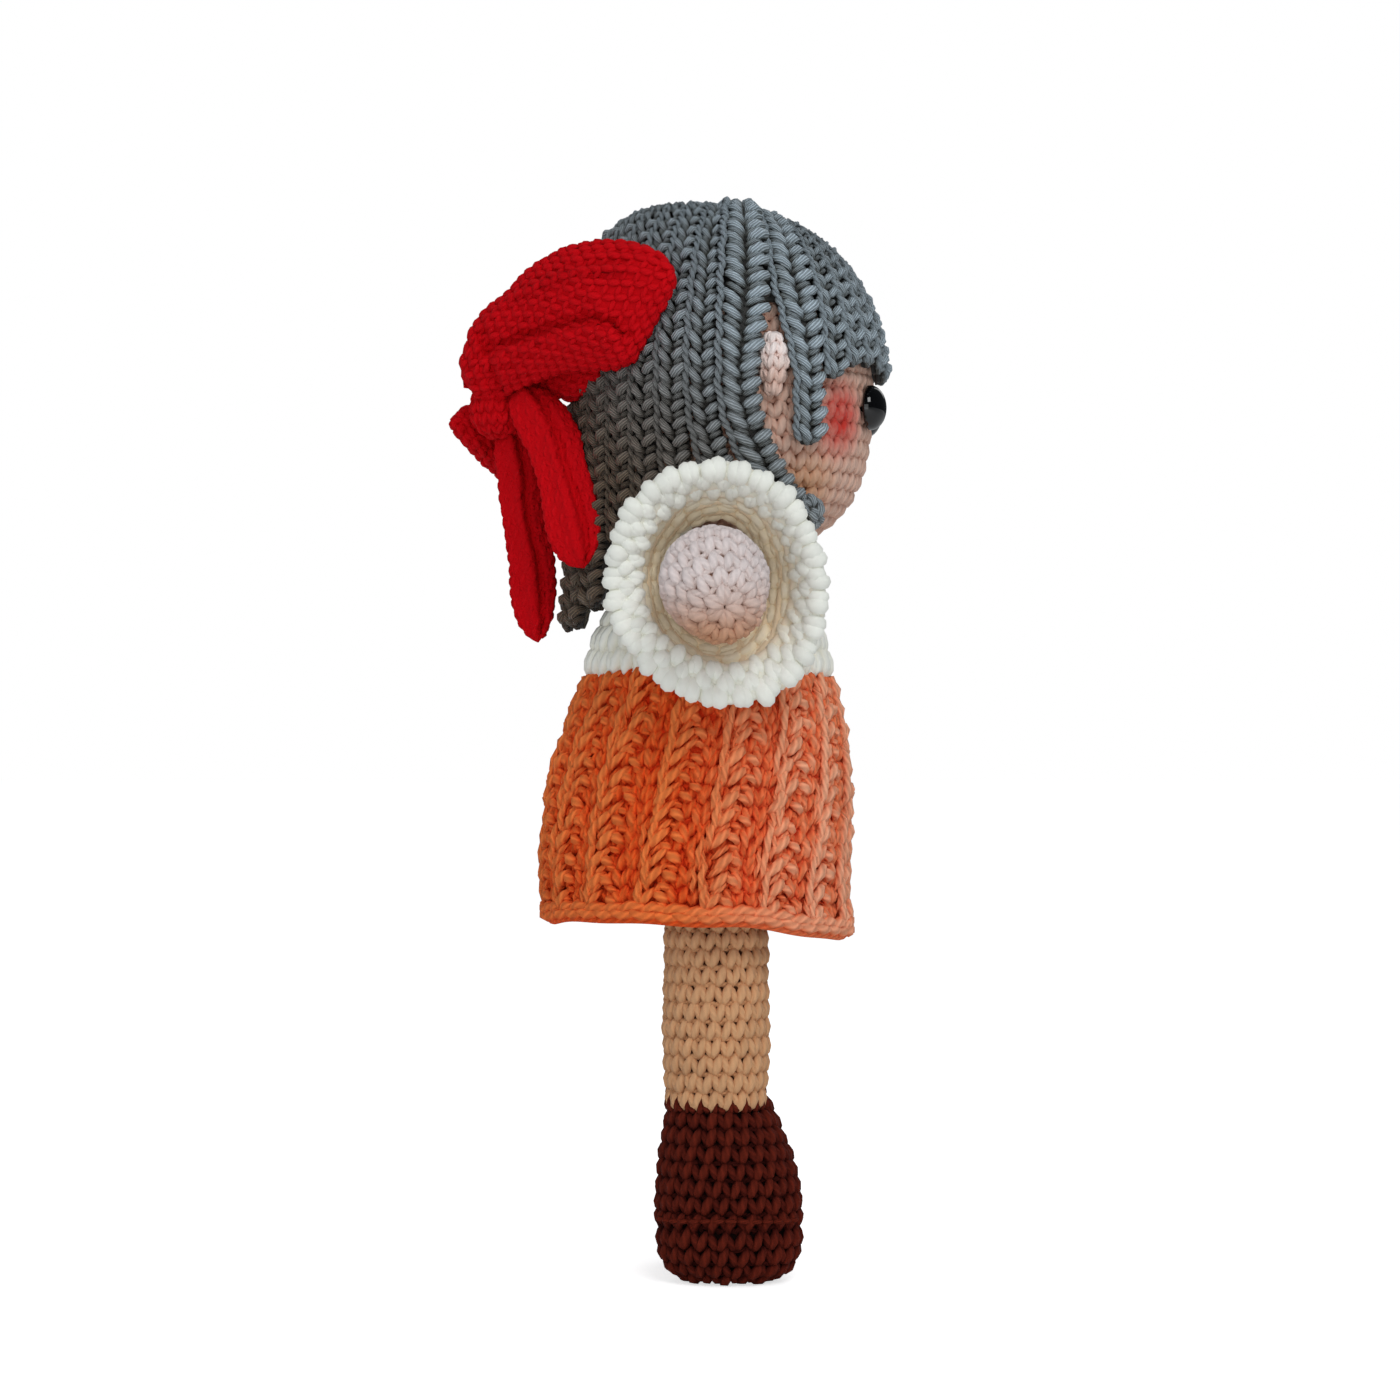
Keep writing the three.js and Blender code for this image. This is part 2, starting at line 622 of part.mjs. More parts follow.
function makeBow() {
  const knotPlace = new THREE.Vector3(headForward - knotReach, 0, headMiddle - knotDrop);
  const knotSize = new THREE.Vector3(knotDepth, knotWidth, knotHeight);
  const knotBall = (extra) =>
    new THREE.SphereGeometry(1, 12, 8)
      .scale(knotDepth / 2 + extra, knotWidth / 2 + extra, knotHeight / 2 + extra)
      .translate(...knotPlace);
  add("bow_knot", knotBall(0), bowYarn);

  const routeOf = (shares) =>
    new THREE.CatmullRomCurve3(
      shares.map((share) => new THREE.Vector3(...share).multiply(knotSize).add(knotPlace)),
    );
  const highLoop = (extra) => {
    const facing = new THREE.Vector3(-0.62, -0.76, 0.2);
    return bandOf(routeOf(highRouteShares), loopShares, loopWidth + extra, loopThickness + extra, facing, 12);
  };
  const lowFacing = new THREE.Vector3(-0.86, 0.5, -0.1);
  const lowLoop = bandOf(routeOf(lowRouteShares), loopShares, lowLoopWidth, loopThickness, lowFacing, 12);
  const knotRoom = knotBall(seatGap);
  const hair = hairRoom();
  add("bow_loop_right", cut(highLoop(0), knotRoom, hair), bowYarn);
  add("bow_loop_left", cut(lowLoop, knotRoom, hair), bowYarn);

  const tailFacing = new THREE.Vector3(0, -1, 0);
  const tailAlong = (shares) =>
    bandOf(routeOf(shares), tailShares, tailWidth, tailThickness, tailFacing, 8);
  const swingRoom = knotBall(2 * seatGap);
  const nearTail = cut(tailAlong(nearTailShares), swingRoom, highLoop(2 * seatGap), hair);
  add("bow_tail_right", nearTail, bowYarn);
  add("bow_tail_left", cut(tailAlong(farTailShares), swingRoom), bowYarn);
}

// Dress: the blouse follows the body, and the skirt flares from it with upright ribs
function blouseBody(extra) {
  const rings = bodyRings(-(dressWall + seatGap + extra), blouseBottom, blouseTop);
  return skinOf([
    pole({ x: -bodyBack, z: blouseBottom }),
    ...rings,
    pole({ x: neckForward, z: blouseTop }),
  ]);
}

function makeBlouse() {
  const outer = bodyRings(-(dressWall + seatGap), blouseBottom, blouseTop);
  const inner = bodyRings(-seatGap, blouseBottom, blouseTop).reverse();
  const reach = shoulderBallRadius + armholeClearance;
  const armhole = atShoulder(
    new THREE.CylinderGeometry(reach, reach, 2 * cutOverrun + shoulderBallRadius, ballSides),
  );
  add("blouse", cut(skinOf([...outer, ...inner], true), ...bothSides(armhole)), whiteYarn);
}

function makeSkirt() {
  const top = blouseBottom - seatGap;
  const topRadius = bodyRadius + dressWall + seatGap;
  const section = (share, inset) => ({
    x: THREE.MathUtils.lerp(-bodyBack, -skirtShift, along(skirtOutlineShares, share, 2)),
    z: THREE.MathUtils.lerp(skirtBottom, top, share),
    rx: THREE.MathUtils.lerp(topRadius, skirtRadius, along(skirtOutlineShares, share)) - inset,
  });
  const ribs = (k) => 1 + (k % 2 ? -1 : 1) * (ribHeight / 2 / skirtRadius);
  const outer = skirtOutlineShares.map(([share]) => ring(section(share, 0), skirtSides, ribs));
  const inner = skirtOutlineShares
    .filter((_, k) => k !== 1 && k !== 2)
    .map(([share]) => ring(section(share, dressWall), skirtSides));
  add("skirt", skinOf([...outer, ...inner.reverse()], true), orangeYarn);
  const hem = new THREE.TorusGeometry(skirtRadius - dressWall / 2, hemThickness / 2, 6, skirtSides / 2);
  add("skirt_hem", hem.translate(-skirtShift, 0, skirtBottom - seatGap - hemThickness / 2), orangeYarn);
}

// Arm profiles run from the shoulder's ball to the tip, as [radius, distance] inset from the surface
function armProfile(inset, opening, rows = armOutlineShares) {
  const ball = shoulderBallRadius - inset;
  const back = opening ? Math.acos(opening / ball) : Math.PI / 2;
  const root = Array.from({ length: 4 }, (_, k) => {
    const slope = -back * (1 - k / 4);
    return [ball * Math.cos(slope), ball * Math.sin(slope)];
  });
  const length = armLength - inset;
  const rest = rows.map(([way, share]) => [armRadius * share - inset, length * way]);
  return [...root, ...rest.filter(([radius]) => radius > 0), [0, length]];
}

function sleeveRing(way, radius, lobes) {
  return ring({ z: way, rx: radius }, sleeveSides, (k) => 1 + ((k % 2 ? -1 : 1) * lobes) / radius);
}

function makeArms() {
  const outer = armProfile(0, armOpening);
  const fewer = armOutlineShares.filter((_, k) => k % 2 === 0);
  const inner = armProfile(stuffedWall, armOpening, fewer).reverse();
  addPair("arm_cover", atShoulder(turned([...inner, ...outer], limbSides)), paleSkin);
  const core = armProfile(stuffedWall + seatGap, 0, fewer);
  core[0] = [0, core[0][1]];
  addPair("arm_stuffing", atShoulder(turned(core, limbSides)), filling);

  const rootRadius = shoulderBallRadius + armholeClearance;
  const bell = sleeveOutlineShares.map(([way, share]) => [way * sleeveLength, share]);
  const rows = [[-sleeveRoot, 0], [0, 0], ...bell];
  const radiusAt = (share) => THREE.MathUtils.lerp(rootRadius, sleeveMouthRadius, share);
  const outside = rows.map(([way, share]) => {
    const lobes = (lobeHeight / 2) * smooth(2 * share - 1);
    return sleeveRing(way, radiusAt(share) + dressWall, lobes);
  });
  const inside = rows
    .filter((_, k) => k !== 2 && k !== 4)
    .map(([way, share]) => sleeveRing(way, radiusAt(share), 0));
  const sleeve = skinOf([...outside, ...inside.reverse()], true).rotateX(-Math.PI / 2);
  const headRoom = headBall(-headSway - seatGap);
  addPair("sleeve", cut(atShoulder(sleeve), blouseBody(seatGap), headRoom), whiteYarn);
}

// Legs: the shoe is a squarish dome up to the sole's edge and narrows to the ankle above it
function shoeSection(z, width, inset) {
  const upper = along(shoeUpperShares, (z - soleEdgeHeight) / (shoeHeight - soleEdgeHeight));
  const ankle = calfRadius * legOutlineShares[0][1];
  return {
    x: toeReach * Math.min(1, THREE.MathUtils.lerp(ankleShiftShare, 1, upper)),
    y: -legSpread,
    z,
    rx: (THREE.MathUtils.lerp(ankle, shoeLength / 2, upper) - inset) * width,
    ry: (THREE.MathUtils.lerp(ankle, shoeWidth / 2, upper) - inset) * width,
  };
}

function shoeRings(inset, top, domeSteps, upperSteps, sides) {
  const half = soleEdgeHeight + soleCut - inset;
  const flat = -soleCut + Math.max(soleCut, inset);
  const depth = Math.min((soleEdgeHeight - flat) / half, 1);
  const start = Math.acos(depth ** (soleFullness / 2));
  const rings = [];
  for (let k = 0; k <= domeSteps; k++) {
    const slope = THREE.MathUtils.lerp(start, Math.PI / 2, k / domeSteps);
    const z = soleEdgeHeight - half * Math.cos(slope) ** (2 / soleFullness);
    rings.push(ring(shoeSection(z, Math.sin(slope) ** (2 / soleFullness), inset), sides));
  }
  for (let k = 1; k <= upperSteps; k++) {
    const z = THREE.MathUtils.lerp(soleEdgeHeight, top, k / upperSteps);
    rings.push(ring(shoeSection(z, 1, inset), sides));
  }
  return rings;
}

function legRings(inset, low, ballSteps, opening, sides) {
  const ball = hipBallRadius - inset;
  const narrow = calfRadius * legOutlineShares.at(-1)[1] - inset;
  const meet = -Math.acos(narrow / ball);
  const top = opening ? Math.acos(opening / ball) : Math.PI / 2;
  const neck = hipHeight + ball * Math.sin(meet);
  const tube = legOutlineShares.map(([way, share]) => ({
    y: -legSpread,
    z: THREE.MathUtils.lerp(low, neck, way / legBallStartShare),
    rx: calfRadius * share - inset,
  }));
  const round = Array.from({ length: ballSteps + (opening ? 1 : 0) }, (_, k) => {
    const slope = THREE.MathUtils.lerp(meet, top, k / ballSteps);
    return { y: -legSpread, z: hipHeight + ball * Math.sin(slope), rx: ball * Math.cos(slope) };
  });
  return [...tube, ...round].map((section) => ring(section, sides));
}

function makeLegs() {
  const legBottom = shoeHeight + seatGap;
  const cover = [
    ...legRings(0, legBottom, 6, legOpening, limbSides),
    ...legRings(stuffedWall, legBottom, 5, legOpening, limbSides).reverse(),
  ];
  addPair("leg_cover", skinOf(cover, true), legSkin);

  const soleInside = pole({ x: toeReach, y: -legSpread, z: stuffedWall - soleCut });
  const shoe = [
    pole({ x: toeReach, y: -legSpread, z: 0 }),
    ...shoeRings(0, shoeHeight, 5, 6, limbSides),
    ...shoeRings(stuffedWall, shoeHeight, 4, 4, limbSides).reverse(),
    soleInside,
  ];
  addPair("shoe_cover", skinOf(shoe), brownYarn);

  const inset = stuffedWall + seatGap;
  const core = [
    pole({ x: toeReach, y: -legSpread, z: inset - soleCut }),
    ...shoeRings(inset, shoeHeight, 3, 3, limbSides),
    ...legRings(inset, legBottom, 4, 0, limbSides),
    pole({ y: -legSpread, z: hipHeight + hipBallRadius - inset }),
  ];
  addPair("leg_stuffing", skinOf(core), filling);
}

// Where the blouse's back is at the button's height.
function buttonSeat() {
  const line = bodyAt(buttonHeight);
  return line.x - line.radius - dressWall - seatGap;
}

function makeFastening() {
  const back = buttonSeat();
  const frame = (geometry) =>
    geometry
      .rotateZ(Math.PI / 2 - THREE.MathUtils.degToRad(buttonTiltDegrees))
      .rotateX(Math.PI / 2)
      .translate(back, 0, buttonHeight);
  const radius = buttonDiameter / 2;
  const shank = buttonShank / 2;
  const button = turned([
    [0, -cutOverrun], [shank, -cutOverrun], [shank, buttonStand], [radius, buttonStand],
    ...dome(radius, buttonThickness / 2, buttonStand + buttonThickness / 2, 3),
  ]);
  const buttonRoom = [
    [0, -cutOverrun], [shank + seatGap, -cutOverrun], [shank + seatGap, buttonStand - seatGap],
    [radius, buttonStand - seatGap], [radius, buttonStand + cutOverrun], [0, buttonStand + cutOverrun],
  ];
  const blouse = blouseBody(seatGap);
  add("back_button", cut(frame(button), blouse), blackGloss);
  const loop = new THREE.TorusGeometry((loopSpan - loopYarn) / 2, loopYarn / 2, 5, 14)
    .scale((loopHeight - loopYarn) / (loopSpan - loopYarn), 1, 1)
    .rotateY(Math.PI / 2 + THREE.MathUtils.degToRad(buttonTiltDegrees))
    .translate(back - loopYarn / 2 - seatGap, 0, buttonHeight - loopHeight / 4);
  add("button_loop", cut(loop, blouse, frame(turned(buttonRoom))), whiteYarn);
}

makeBody();
makeFace();
makeHair();
makeBow();
makeBlouse();
makeSkirt();
makeArms();
makeLegs();
makeFastening();

// The doll's origin is under the middle of it, on the ground.
const bounds = new THREE.Box3().setFromObject(doll, true);
const centre = bounds.getCenter(new THREE.Vector3());
doll.position.set(-centre.x, -centre.y, -bounds.min.z);

export default doll;
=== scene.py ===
import json
import math

import bpy
import numpy as np
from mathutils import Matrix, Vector

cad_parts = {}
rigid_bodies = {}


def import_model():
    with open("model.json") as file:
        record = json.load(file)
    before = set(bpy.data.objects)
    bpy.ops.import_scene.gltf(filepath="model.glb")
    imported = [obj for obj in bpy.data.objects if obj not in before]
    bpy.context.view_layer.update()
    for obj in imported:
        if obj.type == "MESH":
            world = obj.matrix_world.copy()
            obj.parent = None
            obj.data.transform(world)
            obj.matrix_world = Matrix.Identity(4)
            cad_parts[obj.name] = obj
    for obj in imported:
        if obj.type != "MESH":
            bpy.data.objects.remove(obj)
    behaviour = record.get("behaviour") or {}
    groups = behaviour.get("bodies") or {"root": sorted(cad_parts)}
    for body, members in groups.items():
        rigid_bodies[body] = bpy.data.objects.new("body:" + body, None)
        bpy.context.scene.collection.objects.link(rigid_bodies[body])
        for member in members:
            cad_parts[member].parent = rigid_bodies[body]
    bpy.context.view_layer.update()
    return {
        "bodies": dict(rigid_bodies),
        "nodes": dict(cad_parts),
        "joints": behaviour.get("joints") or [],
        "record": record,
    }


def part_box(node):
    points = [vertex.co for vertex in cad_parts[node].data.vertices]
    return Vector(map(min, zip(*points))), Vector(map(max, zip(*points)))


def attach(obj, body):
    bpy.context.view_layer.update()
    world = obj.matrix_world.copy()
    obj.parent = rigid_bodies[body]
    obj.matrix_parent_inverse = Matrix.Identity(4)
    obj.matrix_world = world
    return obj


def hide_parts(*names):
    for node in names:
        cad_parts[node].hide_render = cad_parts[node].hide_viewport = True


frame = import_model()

# Places are worked out in millimetres from the leg line, +X the way the doll faces, its right side at -Y.
legLow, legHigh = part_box("leg_cover_right")
legLineX = (legLow.x + legHigh.x) / 2 * 1000
random = np.random.default_rng(11)

# the side view: its middle, its distance and the width that it frames, in mm
viewSize = {"x": -4.3, "distance": 1000.0, "height": 154.4, "frame": 378.0, "sensor": 36.0}


def smoothStep(x):
    # 0 to 1 with soft ends: x squared times three less two x
    x = np.clip(x, 0.0, 1.0)
    return x * x * (3 - 2 * x)


def mix(a, b, share):
    return a + (b - a) * share


def unit(v):
    return v / np.maximum(np.linalg.norm(v, axis=-1, keepdims=True), 1e-9)


def readCurve(table, place, column=1):
    # a cubic between the table's rows, with slopes taken from the rows on both sides
    rows = np.asarray(table, float)
    at, value = rows[:, 0], rows[:, column]
    low = np.maximum(np.arange(len(at)) - 1, 0)
    high = np.minimum(np.arange(len(at)) + 1, len(at) - 1)
    slope = (value[high] - value[low]) / (at[high] - at[low])
    place = np.clip(place, at[0], at[-1])
    k = np.clip(np.searchsorted(at, place, side="right") - 1, 0, len(at) - 2)
    span = at[k + 1] - at[k]
    t = (place - at[k]) / span
    ease = t * t * (3 - 2 * t)
    bend = span * t * (1 - t) * (slope[k] * (1 - t) - slope[k + 1] * t)
    return value[k] * (1 - ease) + value[k + 1] * ease + bend


def ripple(points, size, seed=0):
    # a soft wave field from -1 to 1: a sum of sines along fixed slanted directions
    ways = np.random.default_rng(seed).normal(size=(5, 3))
    phases = np.random.default_rng(seed + 1).uniform(0, 6.28, 5)
    return np.sin(points @ unit(ways).T * (6.28 / size) + phases).sum(-1) / 3.2


def uvArrays(u, v):
    # u and v as arrays of one shape
    return np.broadcast_arrays(np.asarray(u, float), np.asarray(v, float))


def uvGrid(sides, rows, low=0.0, high=1.0):
    # u goes once round without its end, v from low to high
    return np.meshgrid(np.arange(sides) / sides, np.linspace(low, high, rows))


def lengthAlong(points):
    # the distance walked from the first point to each point
    return np.concatenate([[0], np.cumsum(np.linalg.norm(np.diff(points, axis=0), axis=1))])


# a part is a dictionary of arrays: its points, faces, uv, height over the cloth, which also sets its painted shade, and
# tint
def part(points, quads, tris, uv, lift, tint):
    return {"points": points, "quads": quads, "tris": tris, "uv": uv, "lift": lift, "tint": tint}


def joined(parts):
    # stacks parts, with face numbers moved up by the points that come before
    starts = np.cumsum([0] + [len(p["points"]) for p in parts])
    stack = {key: np.concatenate([p[key] for p in parts]) for key in ("points", "lift", "tint")}
    stack["quads"] = np.concatenate([p["quads"] + s for p, s in zip(parts, starts)])
    stack["tris"] = np.concatenate([p["tris"] + s for p, s in zip(parts, starts)])
    quadUv = [p["uv"][: 4 * len(p["quads"])] for p in parts]
    triUv = [p["uv"][4 * len(p["quads"]):] for p in parts]
    stack["uv"] = np.concatenate(quadUv + triUv)
    return stack


def mirrored(p):
    # the mirror image in the middle plane, with each face turned round so that it still looks out
    quadUv = p["uv"][: 4 * len(p["quads"])].reshape(-1, 4, 2)[:, ::-1].reshape(-1, 2)
    triUv = p["uv"][4 * len(p["quads"]):].reshape(-1, 3, 2)[:, ::-1].reshape(-1, 2)
    uv = np.concatenate([quadUv, triUv])
    return part(p["points"] * [1, -1, 1], p["quads"][:, ::-1], p["tris"][:, ::-1], uv, p["lift"], p["tint"])


bothSides = (("right", lambda made: made), ("left", mirrored))


def placed(name, data):
    # a new object in the scene
    thing = bpy.data.objects.new(name, data)
    bpy.context.scene.collection.objects.link(thing)
    return thing


def pieceOf(name, made, look, body, node):
    # puts a part's arrays into a mesh object, in metres, and ties it to the CAD frame
    mesh = bpy.data.meshes.new(name)
    points = (made["points"] + [legLineX, 0, 0]) / 1000
    quads, tris = made["quads"], made["tris"]
    mesh.vertices.add(len(points))
    mesh.vertices.foreach_set("co", points.astype(np.float32).ravel())
    mesh.loops.add(quads.size + tris.size)
    mesh.loops.foreach_set("vertex_index", np.concatenate([quads.ravel(), tris.ravel()]).astype(np.int32))
    mesh.polygons.add(len(quads) + len(tris))
    starts = np.concatenate([np.arange(len(quads)) * 4, quads.size + np.arange(len(tris)) * 3])
    mesh.polygons.foreach_set("loop_start", starts.astype(np.int32))
    mesh.polygons.foreach_set("use_smooth", np.ones(len(starts), bool))
    layer = mesh.uv_layers.new(name="yarn")
    layer.data.foreach_set("uv", made["uv"].astype(np.float32).ravel())
    for key in ("lift", "tint"):
        mesh.attributes.new(key, "FLOAT", "POINT").data.foreach_set("value", made[key].astype(np.float32))
    mesh.update(calc_edges=True)
    mesh.validate()
    mesh.materials.append(materials[look])
    piece = placed(name, mesh)
    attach(piece, body)
    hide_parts(node)
    return piece


def gridPart(points, looped=False, lift=0.0, uvScale=(1, 1)):
    # a closed skin over rows of points: points[v, u], joined round u, with a pole at each end, or when
    # looped with its last row joined to its first
    rows, sides = points.shape[:2]
    v, u = np.meshgrid(np.arange(rows if looped else rows - 1), np.arange(sides), indexing="ij")
    v, u = v.ravel(), u.ravel()
    after, above = (u + 1) % sides, (v + 1) % rows
    quads = np.stack([v * sides + u, v * sides + after, above * sides + after, above * sides + u], 1)
    corners = [(0, 0), (1, 0), (1, 1), (0, 1)]
    uv = np.stack([np.stack([(u + a) / sides, (v + b) / (rows - 1)], 1) for a, b in corners], 1)
    flat = points.reshape(-1, 3)
    tris, triUv = [], []
    k = np.arange(sides)
    for row in () if looped else (0, rows - 1):
        flat = np.concatenate([flat, points[row].mean(0, keepdims=True)])
        pole = np.full(sides, len(flat) - 1)
        ring = row * sides + k
        nextRing = row * sides + (k + 1) % sides
        order = [pole, nextRing, ring] if row == 0 else [pole, ring, nextRing]
        tris.append(np.stack(order, 1))
        low, high = (k + 1) / sides, k / sides
        pair = (low, high) if row == 0 else (high, low)
        level = np.full(sides, row / (rows - 1))
        middle = (k + 0.5) / sides
        triUv.append(np.stack([np.stack([a, level], 1) for a in (middle, *pair)], 1))
    uv = uv.reshape(-1, 2) * uvScale
    if tris:
        tris = np.concatenate(tris)
        uv = np.concatenate([uv, np.concatenate(triUv).reshape(-1, 2) * uvScale])
    else:
        tris = np.zeros((0, 3), int)
    return part(flat, quads, tris, uv, np.full(len(flat), float(lift)), np.zeros(len(flat)))


def yarnPart(paths, ups, radii, heights, top, sides=6, tints=None):
    # short lengths of yarn: each path[k, n] is the middle of a round tube whose radius follows radii,
    # closed by a pole at both ends; lift is a point's height over the cloth as a share of the top
    many, steps = paths.shape[:2]
    radii = np.broadcast_to(radii, (many, steps))
    ahead = unit(np.gradient(paths, axis=1))
    side = unit(np.cross(ups, ahead))
    up = np.cross(ahead, side)
    angle = 2 * np.pi * np.arange(sides) / sides
    across = side[:, :, None] * np.cos(angle)[:, None] + up[:, :, None] * np.sin(angle)[:, None]
    rings = paths[:, :, None] + across * radii[:, :, None, None]
    height = heights[:, :, None] + radii[:, :, None] * np.sin(angle)
    low = paths[:, :1] - ahead[:, :1] * radii[:, :1, None] * 0.7
    high = paths[:, -1:] + ahead[:, -1:] * radii[:, -1:, None] * 0.7
    count = steps * sides + 2
    points = np.concatenate([rings.reshape(many, -1, 3), low, high], 1).reshape(-1, 3)
    lift = np.concatenate([height.reshape(many, -1), heights[:, :1], heights[:, -1:]], 1).ravel()
    s, j = np.meshgrid(np.arange(steps - 1), np.arange(sides), indexing="ij")
    s, j = s.ravel(), j.ravel()
    after = (j + 1) % sides
    quad = np.stack([s * sides + j, s * sides + after, (s + 1) * sides + after, (s + 1) * sides + j], 1)
    k = np.arange(sides)
    lowTri = np.stack([np.full(sides, count - 2), (k + 1) % sides, k], 1)
    last = (steps - 1) * sides
    highTri = np.stack([np.full(sides, count - 1), last + k, last + (k + 1) % sides], 1)
    starts = (np.arange(many) * count)[:, None, None]
    quads = (quad[None] + starts).reshape(-1, 4)
    tris = (np.concatenate([lowTri, highTri])[None] + starts).reshape(-1, 3)
    gaps = np.linalg.norm(np.diff(paths, axis=1), axis=2)
    along = np.concatenate([np.zeros((many, 1)), np.cumsum(gaps, 1)], 1)
    along = along + random.uniform(0, 20, (many, 1))
    quadUv = np.stack([np.stack([np.broadcast_to((j + a) / sides, (many, len(j))), along[:, s + b]], 2)
                       for a, b in ((0, 0), (1, 0), (1, 1), (0, 1))], 2)
    ends = []
    for step, order in ((0, (1, 0)), (steps - 1, (0, 1))):
        level = np.broadcast_to(along[:, step:step + 1], (many, sides))
        corner = [np.broadcast_to((k + a) / sides, (many, sides)) for a in (0.5, *order)]
        ends.append(np.stack([np.stack([c, level], 2) for c in corner], 2))
    triUv = np.concatenate(ends, 1)
    uv = np.concatenate([quadUv.reshape(-1, 2), triUv.reshape(-1, 2)])
    if tints is None:
        tints = random.uniform(-1, 1, many)
    return part(points, quads, tris, uv, np.clip(lift / top, 0, 1), np.repeat(tints, count))


# a surface is a function of u, in turns, and v, from 0 to 1, that gives points in mm
def liftedPoints(surface, u, v, height, outward=1):
    # points over a surface, and the surface's normal there, from differences along u and v
    step = 1e-4
    low, high = np.clip(v - step, 0, 1), np.clip(v + step, 0, 1)
    du = surface(u + step, v) - surface(u - step, v)
    dv = surface(u, high) - surface(u, low)
    normal = outward * unit(np.cross(du, dv))
    return surface(u, v) + normal * np.asarray(height)[..., None], normal


def turnedSurface(profile, centre, axis, across):
    # a profile of [radius, distance] rows turned about an axis, with v the share of its length
    profile = np.asarray(profile, float)
    reach = lengthAlong(profile)
    reach /= reach[-1]
    centre, axis, across = (np.asarray(x, float) for x in (centre, axis, across))
    upward = np.cross(axis, across)

    def surface(u, v):
        u, v = np.broadcast_arrays(u, v)
        radius = np.interp(v, reach, profile[:, 0])[..., None]
        along = np.interp(v, reach, profile[:, 1])[..., None]
        turn = 2 * np.pi * u[..., None]
        return centre + axis * along + radius * (np.cos(turn) * across + np.sin(turn) * upward)

    return surface


def stitchRows(surface, rowPitch, stitchPitch, low=0.0, high=1.0, least=5, lean=0.0):
    # the cells of a fabric: rows an equal way apart up the surface, each with as many stitches as its
    # round has room for; a cell is its corner (u, v) and its size (du, dv)
    v = np.linspace(low, high, 300)
    walks = [surface(np.full(300, u), v) for u in (0.0, 0.25, 0.5, 0.75)]
    reach = np.mean([np.linalg.norm(np.diff(w, axis=0), axis=1) for w in walks], 0)
    reach = np.concatenate([[0], np.cumsum(reach)])
    rows = max(1, round(reach[-1] / rowPitch))
    edges = np.interp(np.linspace(0, reach[-1], rows + 1), reach, v)
    circuit = np.linspace(0, 1, 49)
    cells = []
    for k in range(rows):
        middle = np.full(49, (edges[k] + edges[k + 1]) / 2)
        girth = np.linalg.norm(np.diff(surface(circuit, middle), axis=0), axis=1).sum()
        many = max(least, round(girth / stitchPitch))
        u = (np.arange(many) + (0.5 * k + lean * k) % 1) / many
        cells.append(np.stack([u, np.full(many, edges[k]), np.full(many, 1 / many),
                               np.full(many, edges[k + 1] - edges[k]), np.full(many, k)], 1))
    return np.concatenate(cells)


def stitchesOver(surface, cells, legs, top, sink=0.0, jitter=0.12, outward=1, sides=6):
    # lays each leg of a stitch in every cell: a leg says how far across and up it goes, in shares of
    # the cell, and its height and radius in mm, and small chance differences keep the hand-made look
    made = []
    many = len(cells)
    tints = random.uniform(-1, 1, many)
    for leg in legs:
        across, up, height, radius = (np.asarray(x, float) for x in leg)
        shift = random.normal(0, jitter * 0.35, (many, 2, 1))
        swell = 1 + random.normal(0, jitter * 0.4, (many, 1))
        u = cells[:, 0:1] + cells[:, 2:3] * (across + shift[:, 0])
        v = cells[:, 1:2] + cells[:, 3:4] * (up + shift[:, 1])
        v = np.clip(v, 0.0005, 0.9995)
        heights = height - sink + random.normal(0, jitter, (many, 1))
        paths, normals = liftedPoints(surface, u, v, heights, outward)
        made.append(yarnPart(paths, normals, radius * swell, heights + sink, top, sides,
                             tints + random.uniform(-0.3, 0.3, many)))
    return joined(made)


def clothOver(surface, height, rows, sides, low=0.0, high=1.0, lift=0.0, rough=0.0):
    # the plain layer that the stitches lie on, with a soft ripple
    u, v = uvGrid(sides, rows, low, high)
    v = np.clip(v, 0.0005, 0.9995)
    points, _ = liftedPoints(surface, u, v, np.full(u.shape, float(height)))
    if rough:
        points, _ = liftedPoints(surface, u, v, height + rough * ripple(points, 7.0))
    return gridPart(points, lift=lift)


def singleCrochet(radius, plump=1.0, bar=True):
    # one stitch seen from outside: a fat lobe and a thinner one that meet low in the cell, and a bar
    # between rows that leaves a small hole beside the thin lobe
    legs = [([0.1, 0.17, 0.28, 0.38, 0.46], [1.0, 0.82, 0.54, 0.28, 0.02], [0.1, 0.6, 0.85, 0.7, 0.2],
             [0.55, 0.86, 0.98, 0.9, 0.6]),
            ([1.0, 0.9, 0.77, 0.64, 0.54], [1.1, 0.88, 0.56, 0.26, -0.02], [0.3, 0.85, 1.12, 0.95, 0.3],
             [0.62, 0.98, 1.18, 1.08, 0.66]),
            ([-0.05, 0.22, 0.5, 0.78, 1.05], [0.02, 0.08, 0.04, 0.08, 0.02], [-0.1, 0.0, 0.05, 0.0, -0.1],
             [0.7, 0.78, 0.8, 0.78, 0.7])]
    return [(across, up, radius * plump * np.array(height), radius * np.array(thick))
            for across, up, height, thick in legs[:3 if bar else 2]]


class Shade:
    # a socket that sums: an expression on shades adds its Math nodes
    def __init__(self, graph, socket):
        self.graph, self.socket = graph, socket

    def maths(self, operation, *others):
        sockets = {0: self, **{k + 1: other for k, other in enumerate(others)}}
        return self.graph.make("ShaderNodeMath", {"operation": operation}, sockets)

    def __add__(self, other):
        return self.maths("ADD", other)

    def __mul__(self, other):
        return self.maths("MULTIPLY", other)

    def __sub__(self, other):
        return self.maths("SUBTRACT", other)

    def __rsub__(self, other):
        return self * -1 + other

    __radd__ = __add__
    __rmul__ = __mul__


